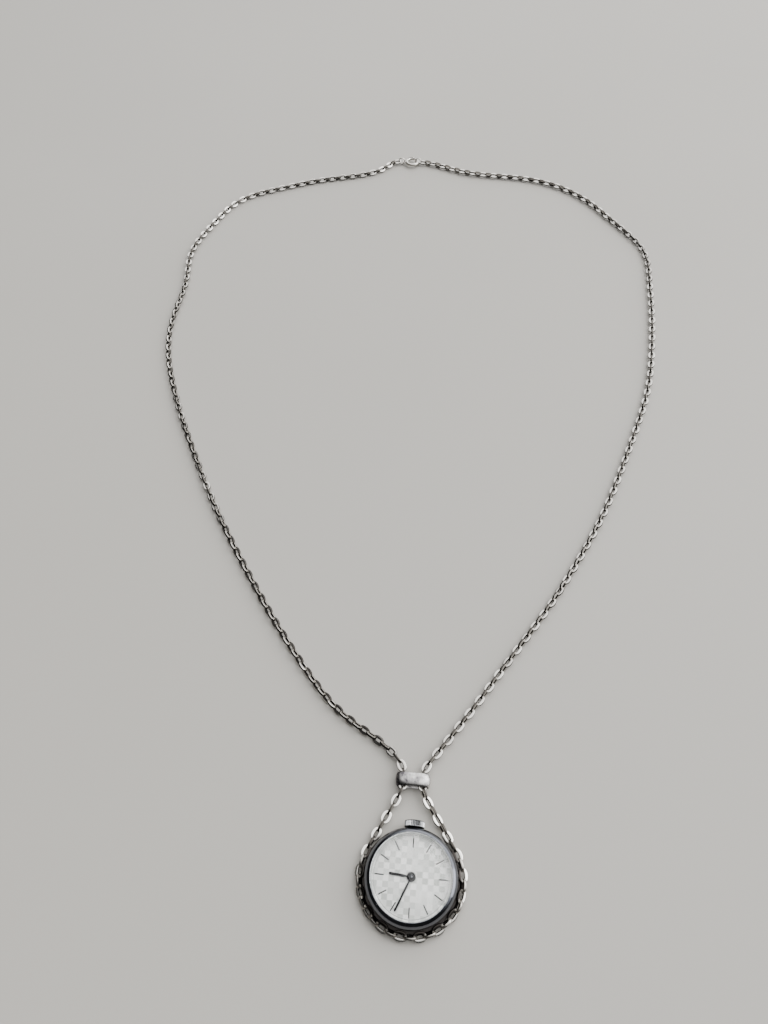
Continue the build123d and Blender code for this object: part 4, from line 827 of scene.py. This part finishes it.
def swept(section, first, last, steps, inner=None):
    """A round section carried round the clasp's axis, hollow where it has an inner section too"""
    points, faces = [], []
    rings = [section] + ([inner] if inner else [])
    size = len(section)
    for step in range(steps + 1):
        angle = math.radians(first + (last - first) * step / steps)
        for outline in rings:
            points += [(r * math.cos(angle), r * math.sin(angle), z) for r, z in outline]
    stride = size * len(rings)
    for step in range(steps):
        for layer in range(len(rings)):
            here, there = step * stride + layer * size, (step + 1) * stride + layer * size
            for i in range(size):
                j = (i + 1) % size
                faces.append((here + i, there + i, there + j, here + j))
    for base in (0, steps * stride):
        if inner:
            faces += [(base + i, base + (i + 1) % size, base + size + (i + 1) % size, base + size + i)
                      for i in range(size)]
        else:
            faces.append(tuple(base + i for i in range(size)))
    return points, faces


def circle(radius, middle_radius, height, sides=16):
    """The (radius, height) points of a round section"""
    return [(middle_radius + radius * math.cos(2 * math.pi * i / sides),
             height + radius * math.sin(2 * math.pi * i / sides)) for i in range(sides)]


def at_clasp(shape):
    """Points and faces moved from the watch's axis to the clasp's"""
    points, faces = shape
    return [(clasp_x + x, clasp_y + y, z) for x, y, z in points], faces


ring_tube = swept(circle(tube_radius, ring_radius, clasp_z), mouth + gap, 360 + mouth, 56,
                  circle(hollow_radius, ring_radius, clasp_z))
clasp_ring = piece("spring_ring", *at_clasp(ring_tube), worn_silver)
slot_inner, slot_outer, slot_top, slot_first, slot_last = 2.5, 3.0, 3.7, 84, 148
slot_section = [(slot_inner, clasp_z), (slot_outer, clasp_z), (slot_outer, slot_top), (slot_inner, slot_top)]
cut(clasp_ring, piece("thumb_slot", *at_clasp(swept(slot_section, slot_first, slot_last, 10))))
lug_near, lug_far, half_lug, half_lug_height = 3.3, 4.6, 1.0, 0.3
lug = block("clasp_lug", (clasp_x - lug_far, clasp_y - half_lug, clasp_z - half_lug_height),
            (clasp_x - lug_near, clasp_y + half_lug, clasp_z + half_lug_height))
lug.data.materials.append(worn_silver)
bevel = lug.modifiers.new("rounded_lug", "BEVEL")
bevel.width = 0.12 * MM
bevel.segments = 3
eye_near, eye_far, half_eye = 3.45, 4.3, 0.4
cut(lug, block("eye_hole", (clasp_x - eye_far, clasp_y - half_eye, 1.0),
               (clasp_x - eye_near, clasp_y + half_eye, 2.0)))
for part in (clasp_ring, lug):
    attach(part, "necklace_top")
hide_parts("clasp_ring")

bolt_start, bolt_end, thumb_start = mouth + 1, 102, 90
bolt_rod = swept(circle(bolt_radius, ring_radius, clasp_z), bolt_start, bolt_end, 24)
bolt = piece("clasp_bolt", *at_clasp(bolt_rod), worn_silver)
thumb_inner, thumb_outer, thumb_top = 2.55, 2.95, 2.65
thumb_section = softened([(thumb_inner, clasp_z), (thumb_outer, clasp_z), (thumb_outer, thumb_top),
                          (thumb_inner, thumb_top)], 0.08)
thumb = piece("clasp_thumb_piece", *at_clasp(swept(thumb_section, thumb_start, bolt_end, 6)), worn_silver)
for part in (bolt, thumb):
    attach(part, "clasp_trigger")
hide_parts("clasp_trigger")

for name, node in (("jump_ring", "clasp_jump_ring"), ("end_ring", "chain_end_ring")):
    low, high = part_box(node)
    middle, reach = (low + high) / 2 / MM, (high.x - low.x) / 2 / MM
    wire = (high.y - low.y) / 2 / MM
    points, faces = lathe(circle(wire, reach - wire, 0.0, 12), 48)
    points = [(middle.x + x, middle.y + z, middle.z + y) for x, y, z in points]
    wire_ring = piece(name + "_wire", points, faces, worn_silver)
    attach(wire_ring, "necklace_top")
    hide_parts(node)
